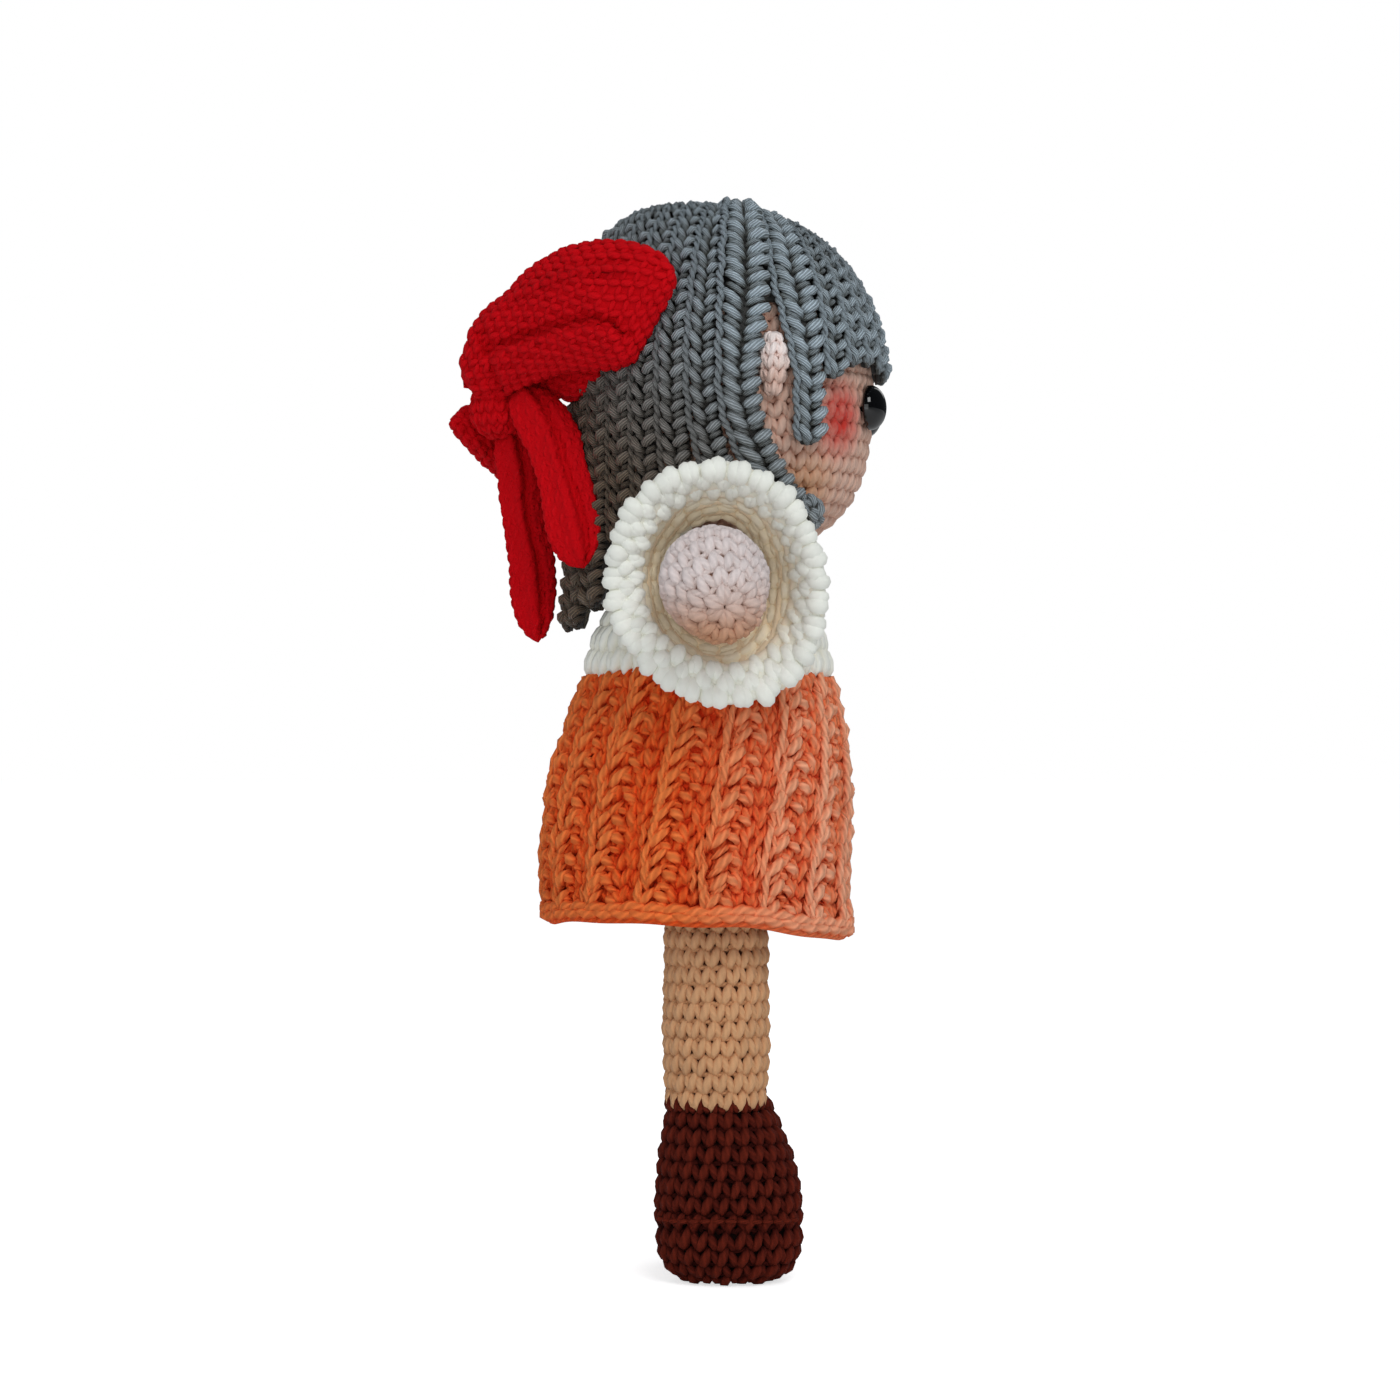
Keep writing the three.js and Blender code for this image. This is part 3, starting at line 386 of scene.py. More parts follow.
class Graph:
    # the nodes of one material
    def __init__(self, name):
        self.material = bpy.data.materials.new(name)
        self.material.use_nodes = True
        self.nodes, self.links = self.material.node_tree.nodes, self.material.node_tree.links
        self.nodes.clear()

    def make(self, kind, settings=None, sockets=None, out=0):
        node = self.nodes.new(kind)
        for key, value in (settings or {}).items():
            if key == "stops":
                while len(node.color_ramp.elements) < len(value):
                    node.color_ramp.elements.new(0.5)
                for stop, (place, colour) in zip(node.color_ramp.elements, value):
                    stop.position, stop.color = place, (*colour, 1)
            else:
                setattr(node, key, value)
        for key, value in (sockets or {}).items():
            if isinstance(value, Shade):
                self.links.new(value.socket, node.inputs[key])
            else:
                node.inputs[key].default_value = value
        return Shade(self, node.outputs[out]) if len(node.outputs) > out else node

    def mixed(self, share, low, high, blend="MIX"):
        settings = {"data_type": "RGBA", "blend_type": blend, "clamp_factor": True}
        return self.make("ShaderNodeMix", settings, {0: share, 6: low, 7: high}, out=2)

    def place(self):
        return self.make("ShaderNodeTexCoord", out=3)

    def measured(self, operation, place, other):
        return self.make("ShaderNodeVectorMath", {"operation": operation}, {0: place, 1: other}, out=1)

    def ranged(self, value, start, end, low=0.0, high=1.0, kind="SMOOTHSTEP"):
        sockets = {"Value": value, "From Min": start, "From Max": end, "To Min": low, "To Max": high}
        return self.make("ShaderNodeMapRange", {"interpolation_type": kind}, sockets)

    def noise(self, vector, scale, detail=2.0, roughness=0.5):
        return self.make("ShaderNodeTexNoise", None,
                         {"Vector": vector, "Scale": scale, "Detail": detail, "Roughness": roughness})

    def finish(self, **sockets):
        shader = self.make("ShaderNodeBsdfPrincipled", None, {k.replace("_", " "): v for k, v in sockets.items()})
        self.make("ShaderNodeOutputMaterial", None, {"Surface": shader})
        return self.material


def colour(r, g, b):
    # a colour written as it looks on screen, 0 to 255, changed to the linear values that nodes use
    linear = [c / 255 / 12.92 if c <= 10 else ((c / 255 + 0.055) / 1.055) ** 2.4 for c in (r, g, b)]
    return (*linear, 1.0)


plainLook = {"plies": 4, "twist": 2.6, "wobble": 1.4, "fibreScale": 4200.0, "patchScale": 45.0, "deepEnd": 0.35,
             "tintSpread": 0.05, "patchSpread": 0.14, "fibreSpread": 0.2, "plySpread": 0.1, "plyDepth": 0.12,
             "fibreDepth": 0.14, "roughness": 0.85, "sheen": 0.05, "specular": 0.2, "glow": 0.0}


def yarnMaterial(name, extra=None, **changes):
    # spun yarn: plies wind round each length of yarn and fibres roughen it; painted shade darkens it between stitches
    # and its tops are painted lighter
    look = {**plainLook, **changes}
    graph = Graph(name)
    place = graph.place()
    around = graph.make("ShaderNodeSeparateXYZ", None, {0: graph.make("ShaderNodeUVMap", {"uv_map": "yarn"})})
    along = Shade(graph, around.socket.node.outputs[1])
    lift, tint = (graph.make("ShaderNodeAttribute", {"attribute_name": key}, out=2) for key in ("lift", "tint"))
    wobble = graph.noise(place, look["fibreScale"] * 0.2, 2.0)
    wind = (around * look["plies"] + along * (1 / look["twist"])) * (2 * math.pi) + wobble * look["wobble"]
    strands = wind.maths("SINE") * 0.5 + 0.5
    fibres = graph.noise(place, look["fibreScale"], 3.0, 0.65)
    patches = graph.noise(place, look["patchScale"], 2.0)
    # painted shade: by its height over the cloth a point goes from the deep colour in the hollows through the middle
    # colour to the light one on the tops of the stitches
    deep, middle, light = (colour(*look[key])[:3] for key in ("deep", "middle", "light"))
    base = graph.make("ShaderNodeValToRGB", {"stops": [(0.0, deep), (look["deepEnd"], middle), (1.0, light)]},
                      {0: lift})
    # random tone by stitch, patch and fibre, and painted shade in the grooves between plies, with lighter painted sheen
    # along the plies where plySpread is large
    shadeAmount = (tint * look["tintSpread"] + (patches - 0.5) * look["patchSpread"]
                   + (fibres - 0.5) * look["fibreSpread"] + (strands - 0.5) * look["plySpread"])
    shown = graph.make("ShaderNodeHueSaturation", None, {"Color": base, "Value": shadeAmount + 1.0})
    if extra:
        shown = extra(graph, place, shown, lift)
    bumpHeight = strands * look["plyDepth"] + fibres * look["fibreDepth"]
    normal = graph.make("ShaderNodeBump", None, {"Height": bumpHeight, "Distance": 0.001, "Strength": 1.0})
    rough = (fibres - 0.5) * 0.15 + look["roughness"]
    # painted glow: where asked the yarn gives off its own colour, painted light that lifts its shadows
    glow = {"Emission_Color": shown, "Emission_Strength": look["glow"]} if look["glow"] else {}
    return graph.finish(Base_Color=shown, Roughness=rough, Normal=normal, Sheen_Weight=look["sheen"],
                        Sheen_Roughness=0.45, Specular_IOR_Level=look["specular"], **glow)


cheekSize = {"rouge": ((32.0, 26.2, 228.5), 2.0, 14.5, 1.0), "jaw": ((23.0, 30.0, 209.5), 1.0, 15.0, 0.6)}


def spotPair(graph, place, centre, near, far, most):
    # a soft round spot on both sides of the face, from its full strength at near to nothing at far, in mm
    spots = []
    for side in (-1, 1):
        middle = ((centre[0] + legLineX) / 1000, side * centre[1] / 1000, centre[2] / 1000)
        away = graph.measured("DISTANCE", place, middle)
        spots.append(graph.ranged(away, near / 1000, far / 1000, most, 0.0))
    return spots[0] + spots[1]


def blush(graph, place, base, lift):
    # rouge on each cheek, patchy and strongest near the eye, and a warmer tan patch on each jaw
    warmth = spotPair(graph, place, *cheekSize["jaw"]) * (graph.noise(place, 300.0, 2.0) + 0.5)
    warm = graph.mixed(warmth, base, colour(208, 150, 98))
    mask = spotPair(graph, place, *cheekSize["rouge"]) * (graph.noise(place, 420.0, 3.0) * 0.9 + 0.45)
    return graph.mixed(mask, warm, colour(206, 62, 52))


def paintedLightByPlace(low, high, share):
    # multiplies the yarn's colour by one of two tints, blended across the piece: painted light and shade that follow
    # where a point sits
    def extra(graph, place, base, lift):
        tinted = graph.mixed(share(graph, place), colour(*low), colour(*high))
        return graph.mixed(1.0, base, tinted, "MULTIPLY")

    return extra


def alongWay(way, start, end):
    # a share that rises from 0 to 1 between two distances, in mm, along a direction
    def share(graph, place):
        soft = (graph.noise(place, 60.0, 2.0) - 0.5) * 0.006 + graph.measured("DOT_PRODUCT", place, way)
        shift = way[0] * legLineX
        return graph.ranged(soft, (start + shift) / 1000, (end + shift) / 1000)

    return share


def fromMiddle(start, end):
    # a share that rises from 0 to 1 between two distances, in mm, out to either side of the doll
    def share(graph, place):
        side = graph.make("ShaderNodeSeparateXYZ", None, {0: place}, out=1).maths("ABSOLUTE")
        return graph.ranged(side, start / 1000, end / 1000)

    return share


def insideSleeves(graph, place):
    # a share that is 0 in the hollow of each sleeve and 1 on the blouse and the sleeve's rim; the hollow takes the warm
    # painted shade
    return 1 - fromMiddle(29.0, 36.0)(graph, place) * (1 - fromMiddle(39.0, 52.0)(graph, place))


def earColour(graph, place, base, lift):
    # pale pink at the top of the ear, tan below
    height = graph.make("ShaderNodeSeparateXYZ", None, {0: place}, out=2)
    share = graph.ranged(height, 0.238, 0.2445, kind="LINEAR")
    return graph.mixed(share, graph.mixed(0.55, base, colour(206, 150, 118)), base)


def plastic(name, scale, dark, pale, rough, spread, **more):
    # moulded plastic with faint dust or scuffs
    graph = Graph(name)
    marks = graph.noise(graph.place(), scale, 4.0)
    return graph.finish(Base_Color=graph.mixed(marks, colour(*dark), colour(*pale)),
                        Roughness=marks * spread + rough, **more)


materials = {
    "skin": yarnMaterial("skinCotton", blush, deep=(156, 102, 80), middle=(210, 166, 146), light=(220, 184, 166)),
    # the arm is painted tan and darker toward its underside, painted shade
    "paleSkin": yarnMaterial(
        "paleArmCotton", paintedLightByPlace((220, 172, 134), (255, 255, 255), alongWay((0.0, 0.0, 1.0), 167.0, 188.0)),
        deep=(170, 126, 100), middle=(222, 208, 204), light=(230, 218, 216), fibreDepth=0.2, fibreScale=2600.0),
    "legSkin": yarnMaterial("tanLegCotton", deep=(84, 46, 20), middle=(204, 150, 106), light=(216, 166, 122),
                            deepEnd=0.28),
    "ear": yarnMaterial("earCotton", earColour, deep=(212, 172, 156), middle=(248, 230, 224),
                        light=(252, 240, 236)),
    # the hair is painted lighter and bluer high and to the front and darker and browner low at the back, painted light
    # and shade; its near-black deep colour is painted shade between stitches and its strong ply stripes are painted
    # sheen
    "hair": yarnMaterial(
        "slateHairCotton", paintedLightByPlace((160, 128, 100), (250, 254, 255), alongWay((0.8, 0.0, 0.6), 102.0, 168.0)),
        deep=(22, 20, 17), middle=(103, 105, 101), light=(174, 187, 196), deepEnd=0.55, plies=10, twist=2.2,
        wobble=2.2, plyDepth=0.3, plySpread=0.85, roughness=0.5, specular=0.5, fibreSpread=0.15),
    "bow": yarnMaterial("redBowYarn", deep=(122, 0, 4), middle=(186, 0, 10), light=(206, 8, 20), fibreDepth=0.16,
                        specular=0.08, sheen=0.0, plySpread=0.06, tintSpread=0.04),
    # the white yarn is painted warmer and darker in the hollow of each sleeve, painted shade, and given a faint painted
    # glow that lifts its shadows
    "white": yarnMaterial(
        "whiteDressYarn", paintedLightByPlace((250, 234, 212), (250, 250, 250), insideSleeves),
        deep=(232, 224, 208), middle=(228, 226, 212), light=(238, 240, 232), plySpread=0.02, plyDepth=0.06,
        patchSpread=0.04, fibreSpread=0.06, fibreDepth=0.08, glow=0.08),
    # the skirt is painted deeper orange at the back and paler toward the front, painted light from the front
    "orange": yarnMaterial(
        "orangeDressYarn", paintedLightByPlace((244, 182, 122), (252, 248, 250), alongWay((1.0, 0.0, 0.0), -14.0, 34.0)),
        deep=(224, 62, 26), middle=(246, 132, 84), light=(253, 184, 146), deepEnd=0.5, plies=3, twist=3.2,
        wobble=0.8, plyDepth=0.35, plySpread=0.3, patchSpread=0.2, specular=0.12, sheen=0.0),
    "brown": yarnMaterial("brownShoeYarn", deep=(16, 2, 1), middle=(66, 16, 9), light=(100, 32, 18), deepEnd=0.5,
                          plySpread=0.3, plyDepth=0.2, specular=0.1, sheen=0.0),
    "filling": yarnMaterial("fibreFilling", deep=(226, 224, 218), middle=(240, 238, 233), light=(250, 249, 246),
                            fibreDepth=0.3, fibreScale=1600.0),
    "gloss": plastic("blackEyePlastic", 900.0, (1, 1, 2), (6, 6, 7), 0.03, 0.04, Specular_IOR_Level=0.6),
    "washer": plastic("washerPlastic", 1400.0, (206, 206, 200), (226, 226, 222), 0.3, 0.2)}
print("materials ready")


def lathe(profile, centre, axis, across, sides=48, looped=False):
    # a closed skin: a profile of [radius, distance] rows turned about an axis
    profile = np.asarray(profile, float)
    centre, axis, across = (np.asarray(x, float) for x in (centre, axis, across))
    upward = np.cross(axis, across)
    turn = 2 * np.pi * np.arange(sides) / sides
    spoke = np.cos(turn)[:, None] * across + np.sin(turn)[:, None] * upward
    points = centre + profile[:, None, 1:2] * axis + profile[:, None, :1] * spoke
    return gridPart(points, looped=looped)


def softCorners(corners, radius=0.25, steps=4):
    # rounds each inner corner of a profile with a short curve between its two sides
    corners = np.asarray(corners, float)
    before, here, after = corners[:-2], corners[1:-1], corners[2:]
    toBefore, toAfter = before - here, after - here
    reachBefore = np.minimum(radius / np.linalg.norm(toBefore, axis=1), 0.45)[:, None]
    reachAfter = np.minimum(radius / np.linalg.norm(toAfter, axis=1), 0.45)[:, None]
    t = np.linspace(0, 1, steps)[None, :, None]
    start, end = (here + toBefore * reachBefore)[:, None], (here + toAfter * reachAfter)[:, None]
    curve = (1 - t) ** 2 * start + 2 * t * (1 - t) * here[:, None] + t ** 2 * end
    return np.concatenate([corners[:1], curve.reshape(-1, 2), corners[-1:]])


headSize = {"forward": 6.0, "middle": 238.0, "depth": 36.5, "width": 41.0, "up": 42.0, "down": 43.0,
            "jaw": 2.8, "swell": 10.0, "swellReach": 0.5, "nape": 4.0, "napeReach": 0.42, "rowPitch": 4.7,
            "stitchPitch": 4.5, "yarn": 1.24, "sink": 2.15}
headMiddle = np.array([headSize["forward"], 0.0, headSize["middle"]])


def crownSwell(way):
    # how far the crown and the nape swell out, in mm: a bell curve about each one's direction
    away = np.arccos(np.clip(unit(way) @ unit(np.array([-0.669, 0.0, 0.743])), -1, 1))
    low = np.arccos(np.clip(unit(way) @ unit(np.array([-0.99, 0.0, -0.12])), -1, 1))
    return (headSize["swell"] * np.exp(-(away / headSize["swellReach"]) ** 2)
            + headSize["nape"] * np.exp(-(low / headSize["napeReach"]) ** 2))


def headSurface(u, v):
    # an ellipse above its middle and a squarer curve, with exponent jaw, below
    u, v = uvArrays(u, v)
    slope = np.pi * (v - 0.5)
    full = np.where(slope < 0, headSize["jaw"], 2.0)
    width = np.maximum(np.cos(slope), 1e-6) ** (2 / full)
    rise = np.abs(np.sin(slope)) ** (2 / full) * np.where(slope < 0, -headSize["down"], headSize["up"])
    turn = 2 * np.pi * u
    out = np.stack([headSize["depth"] * width * np.cos(turn), headSize["width"] * width * np.sin(turn), rise], -1)
    return out + unit(out) * crownSwell(out)[..., None] + headMiddle


cells = stitchRows(headSurface, headSize["rowPitch"], headSize["stitchPitch"], 0.06, 0.9)
headCloth = clothOver(headSurface, -headSize["sink"], 60, 72, rough=0.2)
headStitches = stitchesOver(headSurface, cells, singleCrochet(headSize["yarn"], 0.65), 2.0, headSize["sink"], 0.1)
pieceOf("headCover", joined([headCloth, headStitches]), "skin", "head", "head_cover")


def lumpy(surface, inset, lumps, rows=40, sides=48):
    # loose filling: the same form inset, pushed in and out by two sizes of ripple
    u, v = uvGrid(sides, rows, 0.004, 0.996)
    points, normal = liftedPoints(surface, u, v, np.full(u.shape, -inset))
    rough = ripple(points, 14.0, 3) * lumps + ripple(points, 5.0, 7) * lumps * 0.4
    return gridPart(points + normal * (rough - lumps)[..., None])


pieceOf("headStuffing", lumpy(headSurface, 3.3, 0.5), "filling", "head", "head_stuffing")
print("head made")

faceSize = {"eyeTurn": math.radians(20), "drop": 5.8, "eye": 6.0, "dome": 4.2, "rim": 0.5, "gap": 0.3,
            "shank": 2.0, "shankLength": 9.0, "washer": 6.25, "washerTop": -3.535, "washerThick": 1.5, "washerRim": 1.2,
            "earPlace": (14.6, 241.5), "earSize": (6.2, 5.4, 16.8), "earYarn": 0.85}


def eyeParts():
    # the dome is a quarter of an ellipse, and the washer a flat ring on the ribbed shank
    size = faceSize
    level = (1 - (size["drop"] / headSize["down"]) ** headSize["jaw"]) ** (1 / headSize["jaw"])
    c, s = math.cos(size["eyeTurn"]), math.sin(size["eyeTurn"])
    centre = (headSize["forward"] + headSize["depth"] * level * c, -headSize["width"] * level * s,
              headSize["middle"] - size["drop"])
    out = np.array([c / headSize["depth"], -s / headSize["width"], 0])
    out = out / np.linalg.norm(out)
    slope = np.linspace(0, np.pi / 2, 18)[:-1]
    r, gap = size["eye"], size["gap"]
    domeRows = np.stack([r * np.cos(slope), gap + size["rim"] + size["dome"] * np.sin(slope)], 1)
    ribs = np.arange(-size["shankLength"] + 0.6, -1.2, 0.5)
    ribRows = np.stack([size["shank"] - 0.12 * (np.arange(len(ribs)) % 2), ribs], 1)
    low = [[0.05, -size["shankLength"]], [size["shank"] - 0.3, -size["shankLength"]]]
    plate = softCorners([[size["shank"] - 0.1, -1.0], [size["shank"], gap], [r - 0.15, gap], [r, gap + 0.2]], 0.12)
    profile = np.concatenate([low, ribRows, plate, domeRows])
    hole, top = size["shank"] + 0.3, size["washerTop"]
    washer = softCorners([[hole, top], [hole, top - size["washerThick"]], [size["washer"], top - size["washerRim"]],
                          [size["washer"], top], [hole, top]], 0.3)[:-1]
    return lathe(profile, centre, out, (0, 0, 1)), lathe(washer, centre, out, (0, 0, 1), looped=True)


def earSurface(u, v):
    # an upright ellipsoid at the side of the head, a little hollow on its outer side
    depth, side, tall = (x / 2 for x in faceSize["earSize"])
    x, z = faceSize["earPlace"]
    ahead, above = (x - headSize["forward"]) / headSize["depth"], (z - headSize["middle"]) / headSize["up"]
    across = math.sqrt(1 - ahead ** 2 - above ** 2)
    y = -(headSize["width"] * across + faceSize["earSize"][1] / 4)
    u, v = uvArrays(u, v)
    slope, turn = np.pi * (v - 0.5), 2 * np.pi * u
    width = np.maximum(np.cos(slope), 1e-6) ** 0.8 * (1.12 + 0.16 * np.sin(2.6 * slope + 0.9))
    return np.stack([x + depth * width * np.cos(turn), y + side * width * np.sin(turn),
                     z + tall * np.sin(slope)], -1)


earCells = stitchRows(earSurface, 3.3, 3.0, 0.06, 0.94, least=5)
earCloth = clothOver(earSurface, -1.2, 24, 24)
ear = joined([earCloth, stitchesOver(earSurface, earCells, singleCrochet(faceSize["earYarn"]), 1.9, 1.2, 0.06)])
eye, washer = eyeParts()
for side, turned in bothSides:
    pieceOf("eye_" + side + "Dome", turned(eye), "gloss", "head", "eye_" + side)
    pieceOf("washer_" + side, turned(washer), "washer", "head", "eye_washer_" + side)
    pieceOf("earCotton_" + side, turned(ear), "ear", "head", "ear_" + side)
print("face made")

hairSize = {"depth": 37.3, "width": 41.8, "up": 45.0, "partingLength": 36.0, "partingWidth": 11.0,
            "thick": 4.6, "earGap": 0.56, "pitch": 4.6, "cord": 0.6,
            "cap": (36.9, 41.4, 44.4), "capReach": math.radians(62), "ridge": 3.4}


def hairPoint(slope, angle, lift):
    # a point over the head's ellipsoid, in the direction that leaves the short parting and fans out
    spread = np.sin(slope)
    start = 1 - spread
    size = np.array([hairSize["depth"], hairSize["width"], hairSize["up"]])
    along = np.cos(angle) * ((hairSize["partingLength"] / 2 / size[0]) * start + spread)
    across = -np.sin(angle) * ((hairSize["partingWidth"] / 2 / size[1]) * start + spread)
    way = unit(np.stack(np.broadcast_arrays(along, across, np.cos(slope)), -1))
    normal = unit(way / size)
    lift = np.asarray(lift) + crownSwell(way)
    return way * size + normal * lift[..., None] + headMiddle, normal


def strandFrame(strand):
    # tables along a strand by its length: its slope on the head, how far it hangs, and its width
    reach = math.acos(min(max((strand["end"] - headSize["middle"]) / hairSize["up"], 0), 1))
    hang = max(headSize["middle"] - strand["end"], 0)
    t = np.concatenate([np.linspace(0, 1, 160), np.linspace(1, 2, 80)[1:] if hang else []])
    slope, sag = reach * np.minimum(t, 1), np.maximum(t - 1, 0)
    gap = smoothStep(slope / (np.pi / 2) / hairSize["earGap"] - 1)
    front = np.radians(mix(strand["from"], strand.get("lowFrom", strand["from"]), gap))
    back = np.radians(mix(strand["to"], strand.get("lowTo", strand["to"]), gap))
    drift = np.array(strand.get("drift", (0.0, 0.0, 0.0)))
    fall = sag[:, None] * [0, 0, -hang] + drift * sag[:, None] ** 2
    zero = np.zeros_like(slope)
    middle = hairPoint(slope, (front + back) / 2, zero)[0] + fall
    width = np.linalg.norm(hairPoint(slope, front, zero)[0] - hairPoint(slope, back, zero)[0], axis=1)
    length = lengthAlong(middle)
    return {"length": length, "slope": slope, "front": front, "back": back, "fall": fall, "width": width}


def strandPoint(frame, s, a, lift):
    # a point of a strand: s mm along it, a of its width from its front edge, lift mm over the head;
    # the width and height draw in along a rounded end
    read = lambda key: np.interp(s, frame["length"], frame[key])
    slope, front, back, width = (read(key) for key in ("slope", "front", "back", "width"))
    fall = np.stack([np.interp(s, frame["length"], frame["fall"][:, k]) for k in range(3)], -1)
    left = np.clip((frame["length"][-1] - s) / (width * 0.55), 0, 1)
    drawn = np.sqrt(np.clip(1 - (1 - left) ** 2, 0.02, 1))
    a = 0.5 + (a - 0.5) * mix(drawn, 1.0, 0.12)
    lift = np.asarray(lift) * mix(drawn, 1.0, 0.45)
    point, normal = hairPoint(slope, front + (back - front) * a, lift)
    return point + fall, normal, width


strandLegs = [
    # across the strand from its front edge, along it in stitches, height and radius in mm
    ([0.9, 0.83, 0.72, 0.61, 0.52], [-0.1, 0.12, 0.4, 0.66, 0.84], [1.2, 2.6, 3.2, 2.8, 1.5], 1.16),
    ([0.89, 0.81, 0.7, 0.6, 0.53], [0.4, 0.58, 0.84, 1.06, 1.22], [0.9, 2.1, 2.6, 2.2, 1.2], 0.8),
    ([0.06, 0.12, 0.24, 0.37, 0.46], [0.02, 0.08, 0.24, 0.4, 0.46], [0.9, 2.6, 3.4, 2.9, 1.5], 1.36),
    ([0.1, 0.17, 0.27, 0.38, 0.46], [0.56, 0.6, 0.7, 0.82, 0.9], [0.8, 2.0, 2.6, 2.2, 1.3], 0.86)]


def strandPart(strand):
    # a flat-bottomed band under two columns of stitches that slant to the middle, each a fat loop and
    # a thin one, and a thin twisted cord along the rear edge
    frame = strandFrame(strand)
    total = frame["length"][-1]
    thick = strand.get("thick", hairSize["thick"])
    raised = thick - hairSize["thick"]
    s = np.linspace(1.2, total - 0.35, max(14, int(total / 2.2)))
    section = np.array([[0.1, 0.35], [0.35, 0.3], [0.65, 0.3], [0.9, 0.35], [0.9, 0.9], [0.78, 1.5],
                        [0.5, 1.5], [0.22, 1.5], [0.1, 0.9]])
    sGrid, a = np.broadcast_arrays(s[:, None], section[None, :, 0])
    h = np.broadcast_to(section[None, :, 1] + raised * (section[None, :, 1] > 0.9), a.shape)
    made = [gridPart(strandPoint(frame, sGrid, a, h)[0], lift=0.05)]
    pitch = hairSize["pitch"]
    many = max(3, round((total - 1.5) / pitch))
    start = np.linspace(0.3, total - pitch * 1.12, many)
    for across, way, rise, yarn in strandLegs:
        a = np.array(across) + random.normal(0, 0.02, (many, 1))
        s = np.clip(start[:, None] + np.array(way) * pitch + random.normal(0, 0.16, (many, 1)), 0.2, total - 0.7)
        height = np.array(rise) * random.normal(1, 0.05, (many, 1)) + raised
        points, normal, width = strandPoint(frame, s, a, height)
        radius = yarn * np.clip(width / 8.4, 0.35, 1.1) * [0.66, 0.98, 1.06, 0.98, 0.66]
        radius = radius * random.normal(1, 0.05, (many, 1))
        made.append(yarnPart(points, normal, radius, height - raised, 4.3))
    way = np.linspace(0.6, total - 1.4, int(total / 0.62))
    _, _, width = strandPoint(frame, way, np.full(len(way), 0.97), np.full(len(way), 3.0))
    wind = way / 4.6 * 2 * np.pi
    for turn in (0, np.pi):
        a = 0.975 + (0.5 * np.cos(wind + turn) + 0.25 * np.sin(way * 0.7)) / np.maximum(width, 2.0)
        h = 2.95 + raised + 0.45 * np.sin(wind + turn)
        points, normal, _ = strandPoint(frame, way, a, h)
        radius = hairSize["cord"] * np.clip(width / 7.0, 0.45, 1.0)
        made.append(yarnPart(points[None], normal[None], radius[None], (h - raised)[None], 3.9, sides=5,
                             tints=np.array([0.8])))
    if "knob" in strand:
        centre, normal, _ = strandPoint(frame, np.array(total - 2.6), np.array(0.5), np.array(2.5))
        knob = turnedSurface(np.array([[strand["knob"] * math.cos(a), strand["knob"] * math.sin(a)]
                                       for a in np.linspace(-1.45, 1.45, 13)]),
                             centre + np.array([1.6, -1.2, -0.6]), unit(np.array([1.0, -0.7, -0.5])),
                             unit(np.array([0.5, 1.0, -0.4])))
        cells = stitchRows(knob, 3.1, 3.6, 0.02, 0.98, least=4, lean=0.3)
        made.append(clothOver(knob, -0.9, 12, 20))
        made.append(stitchesOver(knob, cells, singleCrochet(1.05, 0.9), 1.5, 0.9, 0.15))
    return joined(made)


def below(share):
    # the height of a strand's end, as a share of the head's lower half
    return headSize["middle"] - headSize["down"] * share


# each strand's edges are angles in degrees from the front, and its end is a height
backDrift, fringeStep, backStep = 3.0, 11.2, 74 / 6
strands = {"fringe_strand_%d" % (k + 1): {"from": fringeStep * k - 1.5 * (k == 0), "to": fringeStep * (k + 1),
                                          "end": headSize["middle"] + headSize["up"] * share}
           for k, share in enumerate((0.036, 0.071, 0.095, 0.083, 0.0))}
strands["side_lock"] = {"from": 56, "to": 77, "lowTo": 68, "end": below(0.41)}
strands["curled_strand"] = {"from": 77, "lowFrom": 83, "to": 98, "end": below(0.84), "thick": 6.2,
                            "drift": (17.0, 10.3, 0.0), "knob": 4.4}
for k, (drop, ahead) in enumerate(((0.6, 5.0), (0.68, 2.5), (0.8, 1.0), (1.0, 0), (1.38, 0), (1.5, 0))):
    strands["back_strand_%d" % (k + 1)] = {"from": 98 + backStep * k, "to": 98 + backStep * (k + 1),
                                           "end": below(drop), "drift": (ahead - backDrift * (drop > 1), 0, 0)}
for name, strand in strands.items():
    made = strandPart(strand)
    for side, turned in bothSides:
        pieceOf(name + "Yarn_" + side, turned(made), "hair", "head", name + "_" + side)
middleStrand = strandPart({"from": 172, "to": 188, "end": below(1.52), "drift": (-backDrift, 0.0, 0.0)})
pieceOf("backStrandMiddleYarn", middleStrand, "hair", "head", "back_strand_middle")


def capSurface(u, v):
    # the crown of the hair's ellipsoid, from its rim up, with a low ridge along the parting
    u, v = uvArrays(u, v)
    slope = hairSize["capReach"] * (1 - v) + 0.001
    depth, width, up = hairSize["cap"]
    out = np.stack([depth * np.sin(slope) * np.cos(2 * np.pi * u), width * np.sin(slope) * np.sin(2 * np.pi * u),
                    up * np.cos(slope)], -1)
    ridge = hairSize["ridge"] * np.exp(-(out[..., 1] / 4.4) ** 2 - ((out[..., 0] - 1.0) / 19) ** 4)
    return out + unit(out) * (crownSwell(out) + ridge)[..., None] + headMiddle


u, v = uvGrid(72, 30, 0.0, 0.99)
outer, _ = liftedPoints(capSurface, u, v, np.full(u.shape, -0.1))
inner = (outer - headMiddle) * [0.985, 0.987, 0.962] + headMiddle
capCloth = gridPart(np.concatenate([inner[::-1], outer]), lift=0.1)
capCells = stitchRows(capSurface, 4.2, 4.4, 0.5, 0.985, least=4)
capStitches = stitchesOver(capSurface, capCells, singleCrochet(1.3, 0.8), 2.2, 0.9)
pieceOf("hairCapCotton", joined([capCloth, capStitches]), "hair", "head", "hair_cap")
print("hair made")

